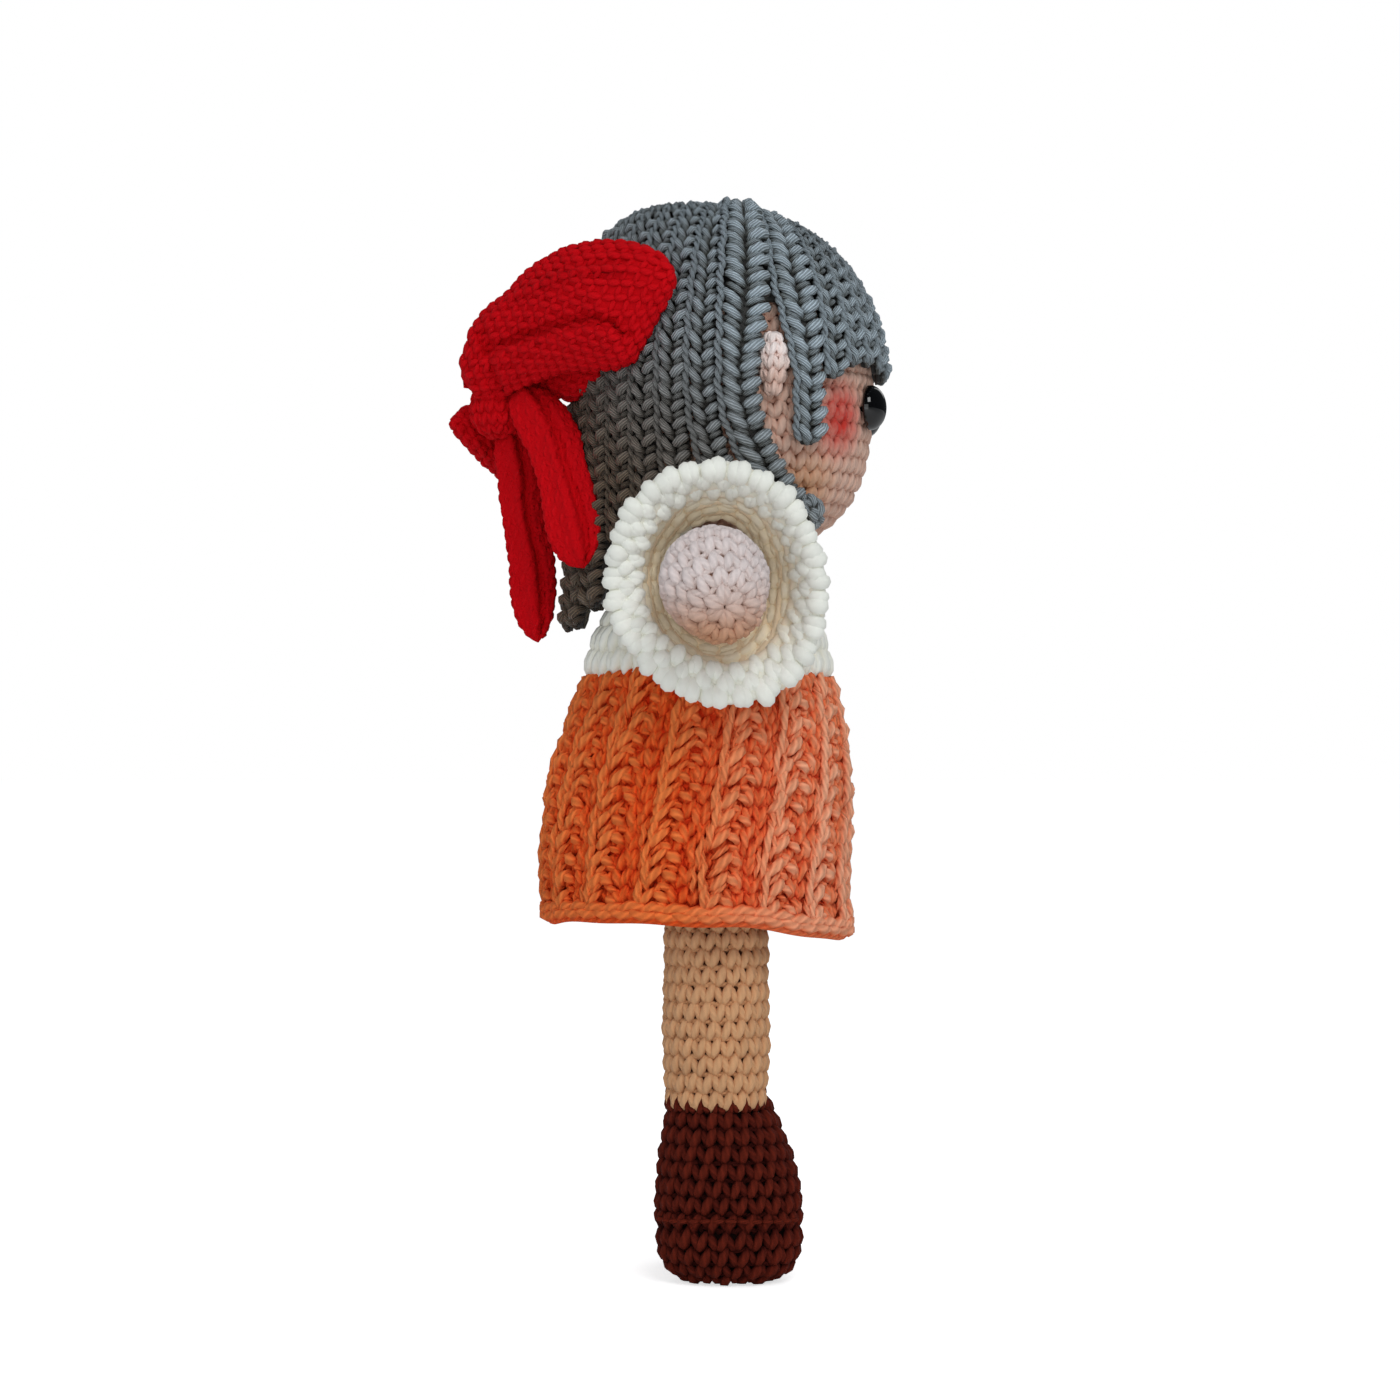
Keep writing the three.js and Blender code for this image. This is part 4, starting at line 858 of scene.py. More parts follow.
bodySize = {"bottom": 100.0, "top": 194.7, "radius": 31.2, "back": 2.0, "forward": 2.0, "neck": 11.0,
            "outline": [[0, .8], [.03, .9], [.09, .96], [.2, .985], [.42, 1], [.62, .995], [.7, .965], [.76, .91],
                        [.81, .85], [.86, .755], [.905, .645], [.94, .52]],
            "hip": (0.0, 15.5, 100.0, 15.4), "shoulder": (-0.7, 31.5, 188.0, 11.6)}


def bodyLevel(share):
    # the middle and the radius of the body at a share of its height
    waist = bodySize["radius"] * readCurve(bodySize["outline"], share)
    radius = mix(waist, bodySize["neck"], smoothStep((share - 0.9) / 0.1))
    return mix(-bodySize["back"], bodySize["forward"], smoothStep((share - 0.75) / 0.25)), radius


def bodySurface(u, v):
    # a pear turned about an axis that leans forward at the neck, with a flat bottom below v = 0.08
    u, v = uvArrays(u, v)
    share = np.clip((v - 0.08) / 0.92, 0, 1)
    middle, radius = bodyLevel(share)
    radius = radius * np.clip(v / 0.08, 0.001, 1)
    turn = 2 * np.pi * u
    z = mix(bodySize["bottom"], bodySize["top"], share)
    return np.stack([middle + radius * np.cos(turn), radius * np.sin(turn), z], -1)


def madeRoom(points):
    # hollows for the balls of the legs, upward from each hip, and of the arms, straight inward
    x, side, z, reach = bodySize["hip"]
    out = points.copy()
    for y in (-side, side):
        flat = (out[..., 0] - x) ** 2 + (out[..., 1] - y) ** 2
        roof = z + np.sqrt(np.maximum(reach ** 2 - flat, 0))
        out[..., 2] = np.where(flat < reach ** 2, np.maximum(out[..., 2], roof), out[..., 2])
    x, side, z, reach = bodySize["shoulder"]
    for y in (-side, side):
        away = out - [x, y, z]
        far = np.linalg.norm(away, axis=-1, keepdims=True)
        out = np.where(far < reach, np.array([x, y, z]) + away / np.maximum(far, 1e-6) * reach, out)
    return out


def outsideRooms(points, margin):
    # true where a point stays clear of the balls of the arms and legs by a margin
    inside = np.zeros(points.shape[:-1], bool)
    for key in ("hip", "shoulder"):
        x, side, z, reach = bodySize[key]
        for y in (-side, side):
            inside |= np.linalg.norm(points - [x, y, z], axis=-1) < reach + margin
    return ~inside


u, v = uvGrid(72, 70, 0.004, 0.998)
bodyPoints, _ = liftedPoints(bodySurface, u, v, np.full(u.shape, -1.9))
bodyCloth = gridPart(madeRoom(bodyPoints))
cells = stitchRows(bodySurface, 4.8, 4.5, 0.1, 0.985)
centres = bodySurface(cells[:, 0] + cells[:, 2] / 2, cells[:, 1] + cells[:, 3] / 2)
bodyStitches = stitchesOver(bodySurface, cells[outsideRooms(centres, 2.6)], singleCrochet(1.08), 2.2, 2.1)
pieceOf("bodyCotton", joined([bodyCloth, bodyStitches]), "skin", "torso", "body_cover")
u, v = uvGrid(48, 44, 0.01, 0.985)
fillPoints, _ = liftedPoints(bodySurface, u, v, np.full(u.shape, -3.6))
fillPoints = madeRoom(fillPoints + unit(fillPoints - [0, 0, 150]) * 0.4 * ripple(fillPoints, 13.0, 5)[..., None])
fillPoints[..., 2] = np.clip(fillPoints[..., 2], 103.2, 192.5)
pieceOf("bodyStuffing", gridPart(fillPoints), "filling", "torso", "body_stuffing")
print("body made")

legSize = {"side": 15.5, "bottom": 46.3, "hip": 100.0, "ball": 14.8, "calf": 14.4, "ballStart": 0.93,
           "outline": [[0, .935], [.16, .97], [.37, 1], [.62, .975], [.83, .965]],
           "rowPitch": 4.6, "stitchPitch": 4.35, "yarn": 1.22, "sink": 2.15,
           "shoeTop": 46.0, "shoeLong": 39.2, "shoeWide": 29.6, "edge": 16.0, "cut": 0.5, "full": 3.2, "toe": 3.4,
           "ankleShift": 0.2, "upper": [[0, 1], [.14, .975], [.3, .93], [.5, .75], [.72, .46], [1, 0]]}


def legProfile():
    # radius and height of the leg: a soft tube, then the ball at the hip
    size = legSize
    narrow = size["calf"] * size["outline"][-1][1]
    meet = -math.acos(narrow / size["ball"])
    neck = size["hip"] + size["ball"] * math.sin(meet)
    way = np.linspace(0, 0.83, 40)
    tube = np.stack([size["calf"] * readCurve(size["outline"], way),
                     mix(size["bottom"], neck, way / size["ballStart"])], 1)
    slope = np.linspace(meet, np.pi / 2 - 0.06, 30)
    ball = np.stack([size["ball"] * np.cos(slope), size["hip"] + size["ball"] * np.sin(slope)], 1)
    return np.concatenate([tube, ball])


legSurface = turnedSurface(legProfile(), (0, -legSize["side"], 0), (0, 0, 1), (1, 0, 0))


def shoeSurface(u, v):
    # a squarish bowl up to the sole's edge, at v = 0.45, that narrows to the ankle above it
    size = legSize
    u, v = uvArrays(u, v)
    half = size["edge"] + size["cut"]
    slope = np.pi / 2 * np.clip(v / 0.45, 0, 1)
    bowl = np.sin(slope) ** (2 / size["full"])
    low = size["edge"] - half * np.maximum(np.cos(slope), 0) ** (2 / size["full"])
    share = np.clip((v - 0.45) / 0.55, 0, 1)
    z = np.where(v < 0.45, np.maximum(low, 0.0), mix(size["edge"], size["shoeTop"], share))
    upper = readCurve(size["upper"], np.where(v < 0.45, 0, share))
    ankle = size["calf"] * size["outline"][0][1]
    x = size["toe"] * np.minimum(1, mix(size["ankleShift"], 1, upper))
    turn = 2 * np.pi * u
    width = np.where(v < 0.45, bowl, 1.0)
    return np.stack([x + mix(ankle, size["shoeLong"] / 2, upper) * width * np.cos(turn),
                     -size["side"] + mix(ankle, size["shoeWide"] / 2, upper) * width * np.sin(turn), z], -1)


legCells = stitchRows(legSurface, legSize["rowPitch"], legSize["stitchPitch"], 0.0, 0.93, lean=0.15)
legCloth = clothOver(legSurface, -legSize["sink"], 40, 48)
legStitches = stitchesOver(legSurface, legCells, singleCrochet(legSize["yarn"], 0.8), 2.0, legSize["sink"])
leg = joined([legCloth, legStitches])
shoeCells = stitchRows(shoeSurface, 4.7, 4.5, 0.1, 1.0, lean=0.1)
shoeCloth = clothOver(shoeSurface, -1.9, 60, 60, low=0.004, high=0.995)
shoeStitches = stitchesOver(shoeSurface, shoeCells, singleCrochet(1.28, 0.85), 2.5, 2.1)
# the colour changes inside a stitch, so brown points rise between the leg's lowest stitches
joinCells = legCells[legCells[:, 4] == 0]
joinLegs = [([0.98, 0.96, 0.93, 0.9, 0.87], [0.75, 0.5, 0.2, -0.1, -0.3], [1.3, 1.6, 1.7, 1.5, 1.0],
             [0.3, 0.62, 0.9, 1.0, 0.8]),
            ([0.1, 0.18, 0.3, 0.4, 0.5], [0.3, 0.2, 0.1, 0.0, -0.1], [1.3, 1.4, 1.4, 1.3, 1.0],
             [0.5, 0.8, 0.95, 0.9, 0.6])]
shoePoints = stitchesOver(legSurface, joinCells, joinLegs, 2.5, legSize["sink"] + 0.1, 0.15)
shoeNeck = clothOver(legSurface, -1.9, 4, 48, low=0.0, high=0.035, lift=0.2)
shoeNeck["points"][:, 2] -= 1.2
slipTurn = np.linspace(0.56, 0.92, 14)[:, None] + np.linspace(-0.013, 0.013, 5)
slipPaths, slipUps = liftedPoints(shoeSurface, slipTurn, 0.478 + 0.006 * np.sin(19 * slipTurn),
                                  np.array([-0.3, 0.3, 0.5, 0.3, -0.3]))
slipLine = yarnPart(slipPaths, slipUps, np.array([0.4, 0.62, 0.66, 0.62, 0.4]), np.full(slipTurn.shape, 2.4), 2.6)
shoeStitches = joined([shoeStitches, shoePoints, slipLine, shoeNeck])
shoeStitches["points"][:, 2] = np.maximum(shoeStitches["points"][:, 2], 0.02)
shoeCloth["points"][:, 2] = np.maximum(shoeCloth["points"][:, 2], 0.9)
shoe = joined([shoeCloth, shoeStitches])


def legFilling():
    # one soft column through the shoe and the leg, inset from both
    rows = []
    side = legSize["side"]
    for surface, low, high, count in ((shoeSurface, 0.01, 0.98, 26), (legSurface, 0.02, 0.985, 34)):
        u, v = uvGrid(40, count, low, high)
        points = surface(u, v)
        middle = points.mean(1, keepdims=True)
        away = points - middle
        far = np.linalg.norm(away, axis=-1, keepdims=True)
        inset = np.maximum(far - 3.3 + 0.3 * ripple(points, 9.0, 9)[..., None], 0.3)
        rows.append(middle + away * inset / np.maximum(far, 1e-6))
    points = np.concatenate(rows)
    points[..., 2] = np.clip(points[..., 2], 3.4, 111.0)
    return gridPart(points)


filling = legFilling()
for side, turned in bothSides:
    pieceOf("legCotton_" + side, turned(leg), "legSkin", "leg_" + side, "leg_cover_" + side)
    pieceOf("shoeCotton_" + side, turned(shoe), "brown", "leg_" + side, "shoe_cover_" + side)
    pieceOf("legStuffing_" + side, turned(filling), "filling", "leg_" + side, "leg_stuffing_" + side)
print("legs made")

armSize = {"centre": (-0.7, -31.5, 188.0), "droop": math.radians(6), "ball": 11.0, "length": 53.0, "radius": 13.9,
           "outline": [[.1, .86], [.25, .91], [.45, .965], [.66, 1], [.8, .96], [.91, .78], [.975, .45]],
           "root": 12.8, "mouth": 27.4, "wall": 3.0, "back": 9.0, "bell": 22.0, "lobes": 28,
           "bellOutline": [[.2, .14], [.45, .38], [.75, .72], [1, 1]]}
armAxis = np.array([0.0, -math.cos(armSize["droop"]), -math.sin(armSize["droop"])])
armAcross = np.array([1.0, 0.0, 0.0])
armUp = np.cross(armAxis, armAcross)
armCentre = np.array(armSize["centre"])


def armProfile():
    # radius and distance along the arm: the shoulder's ball, a soft tube and a round end
    slope = np.linspace(-1.2, 0, 16)
    ball = np.stack([armSize["ball"] * np.cos(slope), armSize["ball"] * np.sin(slope)], 1)
    way = np.linspace(0.1, 0.9, 40)
    tube = np.stack([armSize["radius"] * readCurve(armSize["outline"], way), armSize["length"] * way], 1)
    end = np.pi / 2 * np.linspace(0.02, 1, 18) ** 0.9
    radius = tube[-1, 0]
    tip = np.stack([radius * np.cos(end), tube[-1, 1] + (armSize["length"] - tube[-1, 1]) * np.sin(end)], 1)
    return np.concatenate([ball, tube, tip])


armTube = turnedSurface(armProfile(), armSize["centre"], armAxis, armAcross)


def armSurface(u, v):
    # the turned arm, with its last rows drawn down and forward to where they close
    points = armTube(u, v)
    along = (points - armCentre) @ armAxis
    pull = smoothStep((along - 0.72 * armSize["length"]) / (0.28 * armSize["length"])) ** 1.5
    return points + pull[..., None] * (armAcross * 2.6 - armUp * 5.2)


armCells = stitchRows(armSurface, 4.5, 4.3, 0.14, 0.985, least=6, lean=0.12)
armCloth = clothOver(armSurface, -1.9, 60, 48)
arm = joined([armCloth, stitchesOver(armSurface, armCells, singleCrochet(1.3, 0.5), 2.0, 1.85, 0.08)])
armFilling = lumpy(armSurface, 3.3, 0.4, 40, 36)


def bellRadius(way, share=0.0):
    # the inside of the bell at a distance along the arm, up to its outside at share 1
    rows = [[-armSize["back"], 0], [0, 0]] + [[w * armSize["bell"], s] for w, s in armSize["bellOutline"]]
    widen = np.interp(way, [r[0] for r in rows], [r[1] for r in rows])
    widen = mix(widen, smoothStep(np.clip(way / armSize["bell"], 0, 1)), 0.25)
    return mix(armSize["root"], armSize["mouth"], widen) + armSize["wall"] * share


def bellPoint(turn, way, radius):
    # the mouth is a little taller than wide, and its edge waves to and fro
    opened = smoothStep(way / armSize["bell"])
    wave = 0.7 * np.sin(3 * turn + 0.6) + 0.5 * np.sin(5 * turn + 2.1)
    droop = np.exp(-(((turn + 0.95 + np.pi) % (2 * np.pi) - np.pi) / 0.72) ** 2)
    radius = radius * (1 - opened * (0.045 + 0.04 * np.cos(2 * turn) - 0.008 * wave - 0.17 * droop))
    way = way + opened * (0.8 * wave)
    spoke = np.cos(turn)[..., None] * armAcross + np.sin(turn)[..., None] * armUp
    return armCentre + way[..., None] * armAxis + radius[..., None] * spoke


def bellStarts():
    # for each direction round the arm, how far out the bell leaves the blouse and the head
    turn = np.linspace(0, 2 * np.pi, 121)
    way = np.linspace(-armSize["back"], armSize["bell"] * 0.6, 160)
    t, w = np.meshgrid(turn, way)
    blocked = np.zeros(t.shape, bool)
    for share in (0.0, 1.0):
        points = bellPoint(t, w, bellRadius(w, share))
        level = np.clip((points[..., 2] - bodySize["bottom"]) / (bodySize["top"] - bodySize["bottom"]), 0, 1)
        middle, radius = bodyLevel(level)
        reach = np.hypot(points[..., 0] - middle, points[..., 1])
        blocked |= (reach < radius + 4.6) & (points[..., 2] < 191.5)
        level = np.abs(points[..., 2] - headSize["middle"]) / (headSize["down"] + 1.9)
        wide = np.maximum(1 - level ** headSize["jaw"], 0) ** (1 / headSize["jaw"])
        ahead = (points[..., 0] - headSize["forward"]) / (headSize["depth"] + 1.9)
        span = np.hypot(ahead, points[..., 1] / (headSize["width"] + 1.9))
        blocked |= (span < wide) & (points[..., 2] < headSize["middle"])
    last = np.where(blocked, w, -armSize["back"]).max(0)
    around = np.concatenate([last[:-1]] * 3)
    soft = np.convolve(around, np.ones(5) / 5, "same")[120:240]
    return turn, np.append(np.maximum(soft, last[:-1]), max(soft[0], last[0])) + 0.3


bellTurn, bellStart = bellStarts()


def bellSurface(share):
    def surface(u, v):
        # the bell's wall from where it leaves the blouse to its rim, at a share of its thickness
        u, v = uvArrays(u, v)
        turn = 2 * np.pi * (u % 1)
        way = mix(np.interp(turn, bellTurn, bellStart), armSize["bell"], v)
        return bellPoint(turn, way, bellRadius(way, share))

    return surface


bellOutside, bellInside = bellSurface(0.9), bellSurface(0.35)
u, v = uvGrid(110, 22)
bellCloth = gridPart(np.concatenate([bellInside(u, v)[::-1], bellSurface(0.6)(u, v)]), looped=True, lift=1.0)
bellCells = stitchRows(bellOutside, 4.6, 4.7, 0.03, 0.97, lean=0.1)
bellStitches = stitchesOver(bellOutside, bellCells, singleCrochet(1.4, 0.75), 2.4, 1.6)
innerCells = stitchRows(bellInside, 4.4, 4.9, 0.05, 0.98)
purl = [([0.04, 0.24, 0.5, 0.76, 0.96], [0.2, 0.5, 0.6, 0.5, 0.2], [0.4, 1.0, 1.2, 1.0, 0.4],
         [1.1, 1.5, 1.6, 1.5, 1.1]),
        ([0.1, 0.3, 0.5, 0.7, 0.9], [0.86, 0.96, 1.0, 0.96, 0.86], [0.3, 0.7, 0.8, 0.7, 0.3],
         [1.0, 1.3, 1.4, 1.3, 1.0])]
innerStitches = stitchesOver(bellInside, innerCells, purl, 0.9, 0.8, outward=-1)


def bellEdge():
    # the plump rim: each lobe is two fat loops that stick out side by side over thick soft rings; below
    # and behind, the rim turns over and its inner rows stand up, and elsewhere they lie on the wall;
    # reach is radial, stand is along the arm
    many = armSize["lobes"]
    turn = np.arange(many) / many * 2 * np.pi
    pitch = 2 * np.pi / many
    edge = armSize["bell"]
    share = np.linspace(0, 1, 7)
    marks = [0, .3, .6, .85, 1]
    made = []
    rolled = lambda t: smoothStep(0.5 + 0.8 * np.cos(t - 3.75))
    laid = lambda t, reach: (1 - rolled(t)) * np.minimum(reach + 0.6, 0) / 0.85

    def lay(t, way, radius, thick, outward, onward, height, sides):
        paths = bellPoint(t, way, radius)
        away = unit(paths - (armCentre + way[..., None] * armAxis))
        ups = unit(away * outward + armAxis * onward)
        made.append(yarnPart(paths, ups, thick, np.full(t.shape, height), 2.6, sides=sides))

    t = np.linspace(0, 2.01 * np.pi, 220)[None]
    for reach, stand, thick in ((-0.6, -1.3, 2.5), (-3.4, -1.4, 2.2), (-5.6, -2.4, 2.0)):
        paths = bellPoint(t, edge + stand + laid(t, reach), bellRadius(np.full(t.shape, edge)) + 0.4 + reach)
        ups = unit(paths - armCentre - edge * armAxis)
        made.append(yarnPart(paths, ups, thick * (1 + 0.07 * np.sin(t * many)), np.full(t.shape, 1.9), 2.6, sides=10))
    loops = ((-0.17, -0.18, [-2.2, -0.8, 0.4, 1.3, 1.5], [0.0, 0.9, 1.0, 0.2, -0.8], 2.3),
             (0.17, 0.18, [-2.2, -0.8, 0.4, 1.2, 1.4], [0.0, 0.9, 0.9, 0.1, -0.9], 2.25),
             (0.3, 0.46, [-0.6, -1.8, -2.9, -3.9, -4.4], [0.0, 1.0, 1.0, 0.5, -0.1], 1.7),
             (0.7, 0.54, [-0.6, -1.8, -2.9, -3.9, -4.4], [0.0, 0.9, 0.9, 0.4, -0.2], 1.65),
             (-0.2, -0.04, [-3.4, -4.4, -5.4, -6.3, -6.8], [-0.6, 0.2, 0.0, -0.8, -1.7], 1.6),
             (0.2, 0.04, [-3.4, -4.4, -5.4, -6.3, -6.8], [-0.6, 0.1, -0.1, -0.9, -1.8], 1.6))
    for start, end, reach, stand, yarn in loops:
        sway = random.normal(0, 0.035, (many, 1))
        longer = random.normal(1, 0.06, (many, 1))
        t = turn[:, None] + pitch * (mix(start, end, share) + sway)
        out = np.interp(share, marks, reach) + 1.6 * (longer - 1) * share * 4
        way = edge + np.interp(share, marks, stand) + random.normal(0, 0.25, (many, 1)) + laid(t, out)
        radius = bellRadius(np.full(t.shape, edge)) + 0.4 + out
        thick = yarn * random.normal(1, 0.06, (many, 1)) * np.interp(share, [0, .3, .7, 1], [0.7, 0.95, 1.05, 0.85])
        lay(t, way, radius, thick, 0.4, 1.0, 1.9, 8)
    arc = np.linspace(-1, 1, 6)
    for offset, out, stand, yarn in ((0.0, 0.9, -2.9, 1.5), (0.5, 0.7, -3.4, 1.45), (0.25, -7.4, -3.6, 1.35),
                                     (0.75, -7.3, -3.7, 1.35), (0.0, 0.2, -5.8, 1.35), (0.5, 0.2, -5.8, 1.35)):
        bulge = 1 - arc ** 2
        t = turn[:, None] + pitch * (offset + 0.42 * arc + random.normal(0, 0.04, (many, 1)))
        way = np.broadcast_to(edge + stand + 0.5 * bulge, t.shape)
        radius = bellRadius(way) + 0.4 + out + 0.9 * bulge * np.sign(out + 3)
        if out < -3:
            radius = bellRadius(way) + 0.6 - 0.9 * bulge
        thick = yarn * random.normal(1, 0.06, (many, 1)) * (0.65 + 0.4 * bulge)
        lay(t, way, radius, thick, 1.0, 0.6, 1.8, 6)
    return joined(made)


bellTrim = joined([bellStitches, innerStitches, bellEdge()])
for side, turned in bothSides:
    pieceOf("armCotton_" + side, turned(arm), "paleSkin", "arm_" + side, "arm_cover_" + side)
    pieceOf("armStuffing_" + side, turned(armFilling), "filling", "arm_" + side, "arm_stuffing_" + side)
    cloth = pieceOf("sleeveCloth_" + side, turned(bellCloth), "white", "torso", "sleeve_" + side)
    trim = pieceOf("sleeveStitches_" + side, turned(bellTrim), "white", "torso", "sleeve_" + side)
print("arms and sleeves made")

dressSize = {"waist": 161.0, "top": 190.5, "skirtTop": 160.7, "skirtBottom": 95.9, "hemX": -5.0,
             "topX": -2.0, "topRadius": 34.5, "hemRadius": 42.0, "ribs": 16, "ribStart": 0.63, "slant": 0.039,
             "outline": [[0, 1, 1], [.14, 1.02, 1.25], [.33, 1, 1.1], [.56, .93, .8], [.8, .5, .3], [1, 0, 0]],
             "rowPitch": 5.5, "armhole": 13.2, "hemRing": 40.5, "hemZ": 93.7}


def blouseSurface(stand):
    def surface(u, v):
        # the body's form, stood off, up to an edge that dips round each arm
        u, v = uvArrays(u, v)
        turn = 2 * np.pi * u
        dip = np.sqrt(np.maximum(dressSize["armhole"] ** 2 - (27 * np.cos(turn) - 1.3) ** 2, 0))
        top = np.minimum(dressSize["top"], mix(dressSize["top"], 188.3 - dip, smoothStep(dip / 3)))
        z = mix(dressSize["waist"], top, v)
        middle, radius = bodyLevel((z - bodySize["bottom"]) / (bodySize["top"] - bodySize["bottom"]))
        radius = radius + stand
        return np.stack([middle + radius * np.cos(turn), radius * np.sin(turn), z], -1)

    return surface


u, v = uvGrid(120, 16)
blouseCloth = gridPart(np.concatenate([blouseSurface(0.5)(u, v)[::-1], blouseSurface(1.7)(u, v)]), looped=True,
                       lift=0.3)
cells = stitchRows(blouseSurface(3.2), 4.9, 5.0, 0.0, 1.0)
blouseTrim = stitchesOver(blouseSurface(3.0), cells, singleCrochet(1.45, 0.6), 2.4, 2.2)
cloth = pieceOf("blouseCloth", blouseCloth, "white", "torso", "blouse")
trim = pieceOf("blouseStitches", blouseTrim, "white", "torso", "blouse")


def edgeRise(turn):
    # how far the hem and the waist line stand over their plain heights round the skirt
    return 0.7 - 2.3 * np.cos(turn) + 3.3 * np.sin(turn) ** 2, 3.2 * np.sin(turn) ** 2


def skirtSurface(inset):
    def surface(u, v):
        # a ring whose radius and middle follow the flare, twisted a little so that the ribs slant
        u, v = uvArrays(u, v)
        flare, shift = readCurve(dressSize["outline"], v, 1), readCurve(dressSize["outline"], v, 2)
        radius = mix(dressSize["topRadius"], dressSize["hemRadius"], flare) - inset * mix(1.0, 0.72, v)
        turn = 2 * np.pi * (u - dressSize["slant"] * (1 - v))
        x = mix(dressSize["topX"], dressSize["hemX"], shift) + radius * np.cos(turn)
        low, high = edgeRise(turn)
        z = mix(dressSize["skirtBottom"] + low, dressSize["skirtTop"] + high, v)
        return np.stack([x, radius * np.sin(turn), z], -1)

    return surface


u, v = uvGrid(dressSize["ribs"] * 10, 30)
skirtCloth = gridPart(np.concatenate([skirtSurface(4.4)(u, v)[::-1], skirtSurface(3.5)(u, v)]), looped=True,
                      lift=0.1)
skirtLegs = [
    # across the rib, up the row, height and radius: two lengths of an upright cord, a fat and a thin
    # slanting leg, two puffs, and the upright legs in the hollow
    ([0.02, 0.05, 0.01, 0.04, 0.02], [1.5, 1.1, 0.6, 0.1, -0.3], [1.6, 2.8, 3.1, 2.8, 1.6], 1.08),
    ([0.06, 0.01, 0.06, 0.02, 0.05], [1.2, 0.8, 0.4, 0.0, -0.4], [1.2, 2.3, 2.6, 2.3, 1.2], 0.9),
    ([0.08, 0.14, 0.22, 0.30, 0.36], [-0.1, 0.1, 0.4, 0.66, 0.84], [1.3, 2.5, 3.0, 2.6, 1.4], 1.38),
    ([0.1, 0.17, 0.25, 0.33, 0.38], [0.42, 0.6, 0.84, 1.06, 1.2], [1.0, 2.0, 2.4, 2.0, 1.0], 0.95),
    ([0.35, 0.41, 0.47, 0.53, 0.58], [0.6, 0.5, 0.42, 0.3, 0.1], [1.2, 2.2, 2.6, 2.2, 1.1], 1.36),
    ([0.38, 0.43, 0.49, 0.54, 0.58], [0.1, 0.02, -0.05, -0.12, -0.25], [0.8, 1.5, 1.9, 1.5, 0.7], 1.05),
    ([0.6, 0.64, 0.68, 0.71, 0.73], [1.0, 0.8, 0.5, 0.22, 0.0], [0.4, 1.3, 1.7, 1.4, 0.5], 1.3),
    ([0.88, 0.85, 0.81, 0.78, 0.75], [0.95, 0.76, 0.5, 0.22, 0.02], [0.2, 1.0, 1.4, 1.1, 0.3], 1.25),
    ([0.97, 0.94, 0.93, 0.93, 0.95], [0.95, 0.72, 0.45, 0.2, 0.0], [-0.2, 0.3, 0.55, 0.3, -0.2], 1.15)]


def skirtStitches():
    # every rib repeats the same nine lengths of yarn in each row, a little differently each time
    surface = skirtSurface(0.0)
    rows = round(66.0 / dressSize["rowPitch"])
    rib, row = np.meshgrid(np.arange(dressSize["ribs"]), np.arange(rows), indexing="ij")
    wander = random.normal(0, 0.03, dressSize["ribs"])[rib.ravel()] + dressSize["ribStart"]
    offset = random.uniform(-0.4, 0.4, dressSize["ribs"])[rib.ravel()]
    cells = np.stack([(rib.ravel() + wander) / dressSize["ribs"], (row.ravel() + offset * 0.5) / rows,
                      np.full(rib.size, 1 / dressSize["ribs"]), np.full(rib.size, 1 / rows), row.ravel()], 1)
    legs = [(a, b, h, r * np.array([0.55, 0.92, 1.05, 0.92, 0.55])) for a, b, h, r in skirtLegs]
    ground = stitchRows(skirtSurface(3.4), 4.6, 3.9, 0.01, 0.99, lean=0.2)
    return joined([stitchesOver(surface, cells, legs, 4.1, 3.9, 0.2, sides=5),
                   stitchesOver(skirtSurface(3.4), ground, singleCrochet(1.3, 0.8), 4.4, 0.9, 0.15, sides=4)])


def skirtHem():
    # a plain roll under a plait of long links that lean one way and then the other
    many = 44
    size = dressSize
    turn = 2 * np.pi * np.arange(240) / 240
    ring = np.arange(12) / 12 * 2 * np.pi
    wave = lambda t: edgeRise(t)[0] + 0.35 * np.sin(5 * t + 1) + 0.25 * np.sin(9 * t)
    out = size["hemRing"] - 1.4 + 1.45 * np.cos(ring)[None]
    z = size["hemZ"] - 0.7 + 1.25 * np.sin(ring)[None] + wave(turn)[:, None]
    # rows run round the hem and the circle is the roll's own section
    points = np.stack([size["hemX"] + out * np.cos(turn)[:, None], out * np.sin(turn)[:, None], z], -1)
    roll = gridPart(points[:, ::-1], looped=True, lift=0.45, uvScale=(1, 260))
    k = np.arange(many)
    made = [roll]
    for up, lean in ((1, 0.0), (-1, 0.5)):
        t = (k[:, None] + lean + np.array([-0.9, -0.5, 0.0, 0.5, 1.0])) / many * 2 * np.pi
        high = np.array([-1.0, 0.2, 1.2, 0.8, -0.6]) * up
        out = size["hemRing"] - 1.3 + np.array([0.4, 1.5, 2.1, 1.5, 0.3]) + random.normal(0, 0.15, (many, 1))
        z = size["hemZ"] + 1.5 + high + wave(t) + random.normal(0, 0.12, (many, 1))
        paths = np.stack([size["hemX"] + out * np.cos(t), out * np.sin(t), z], -1)
        ups = np.stack([np.cos(t), np.sin(t), np.zeros_like(t)], -1)
        yarn = np.array([0.6, 1.0, 1.15, 1.0, 0.6]) * 1.32
        made.append(yarnPart(paths, ups, yarn, np.full(t.shape, 1.5), 3.2))
    return joined(made)


cloth = pieceOf("skirtCloth", skirtCloth, "orange", "torso", "skirt")
trim = pieceOf("skirtRibs", skirtStitches(), "orange", "torso", "skirt")
hem = pieceOf("skirtHemChain", skirtHem(), "orange", "torso", "skirt_hem")
print("dress made")

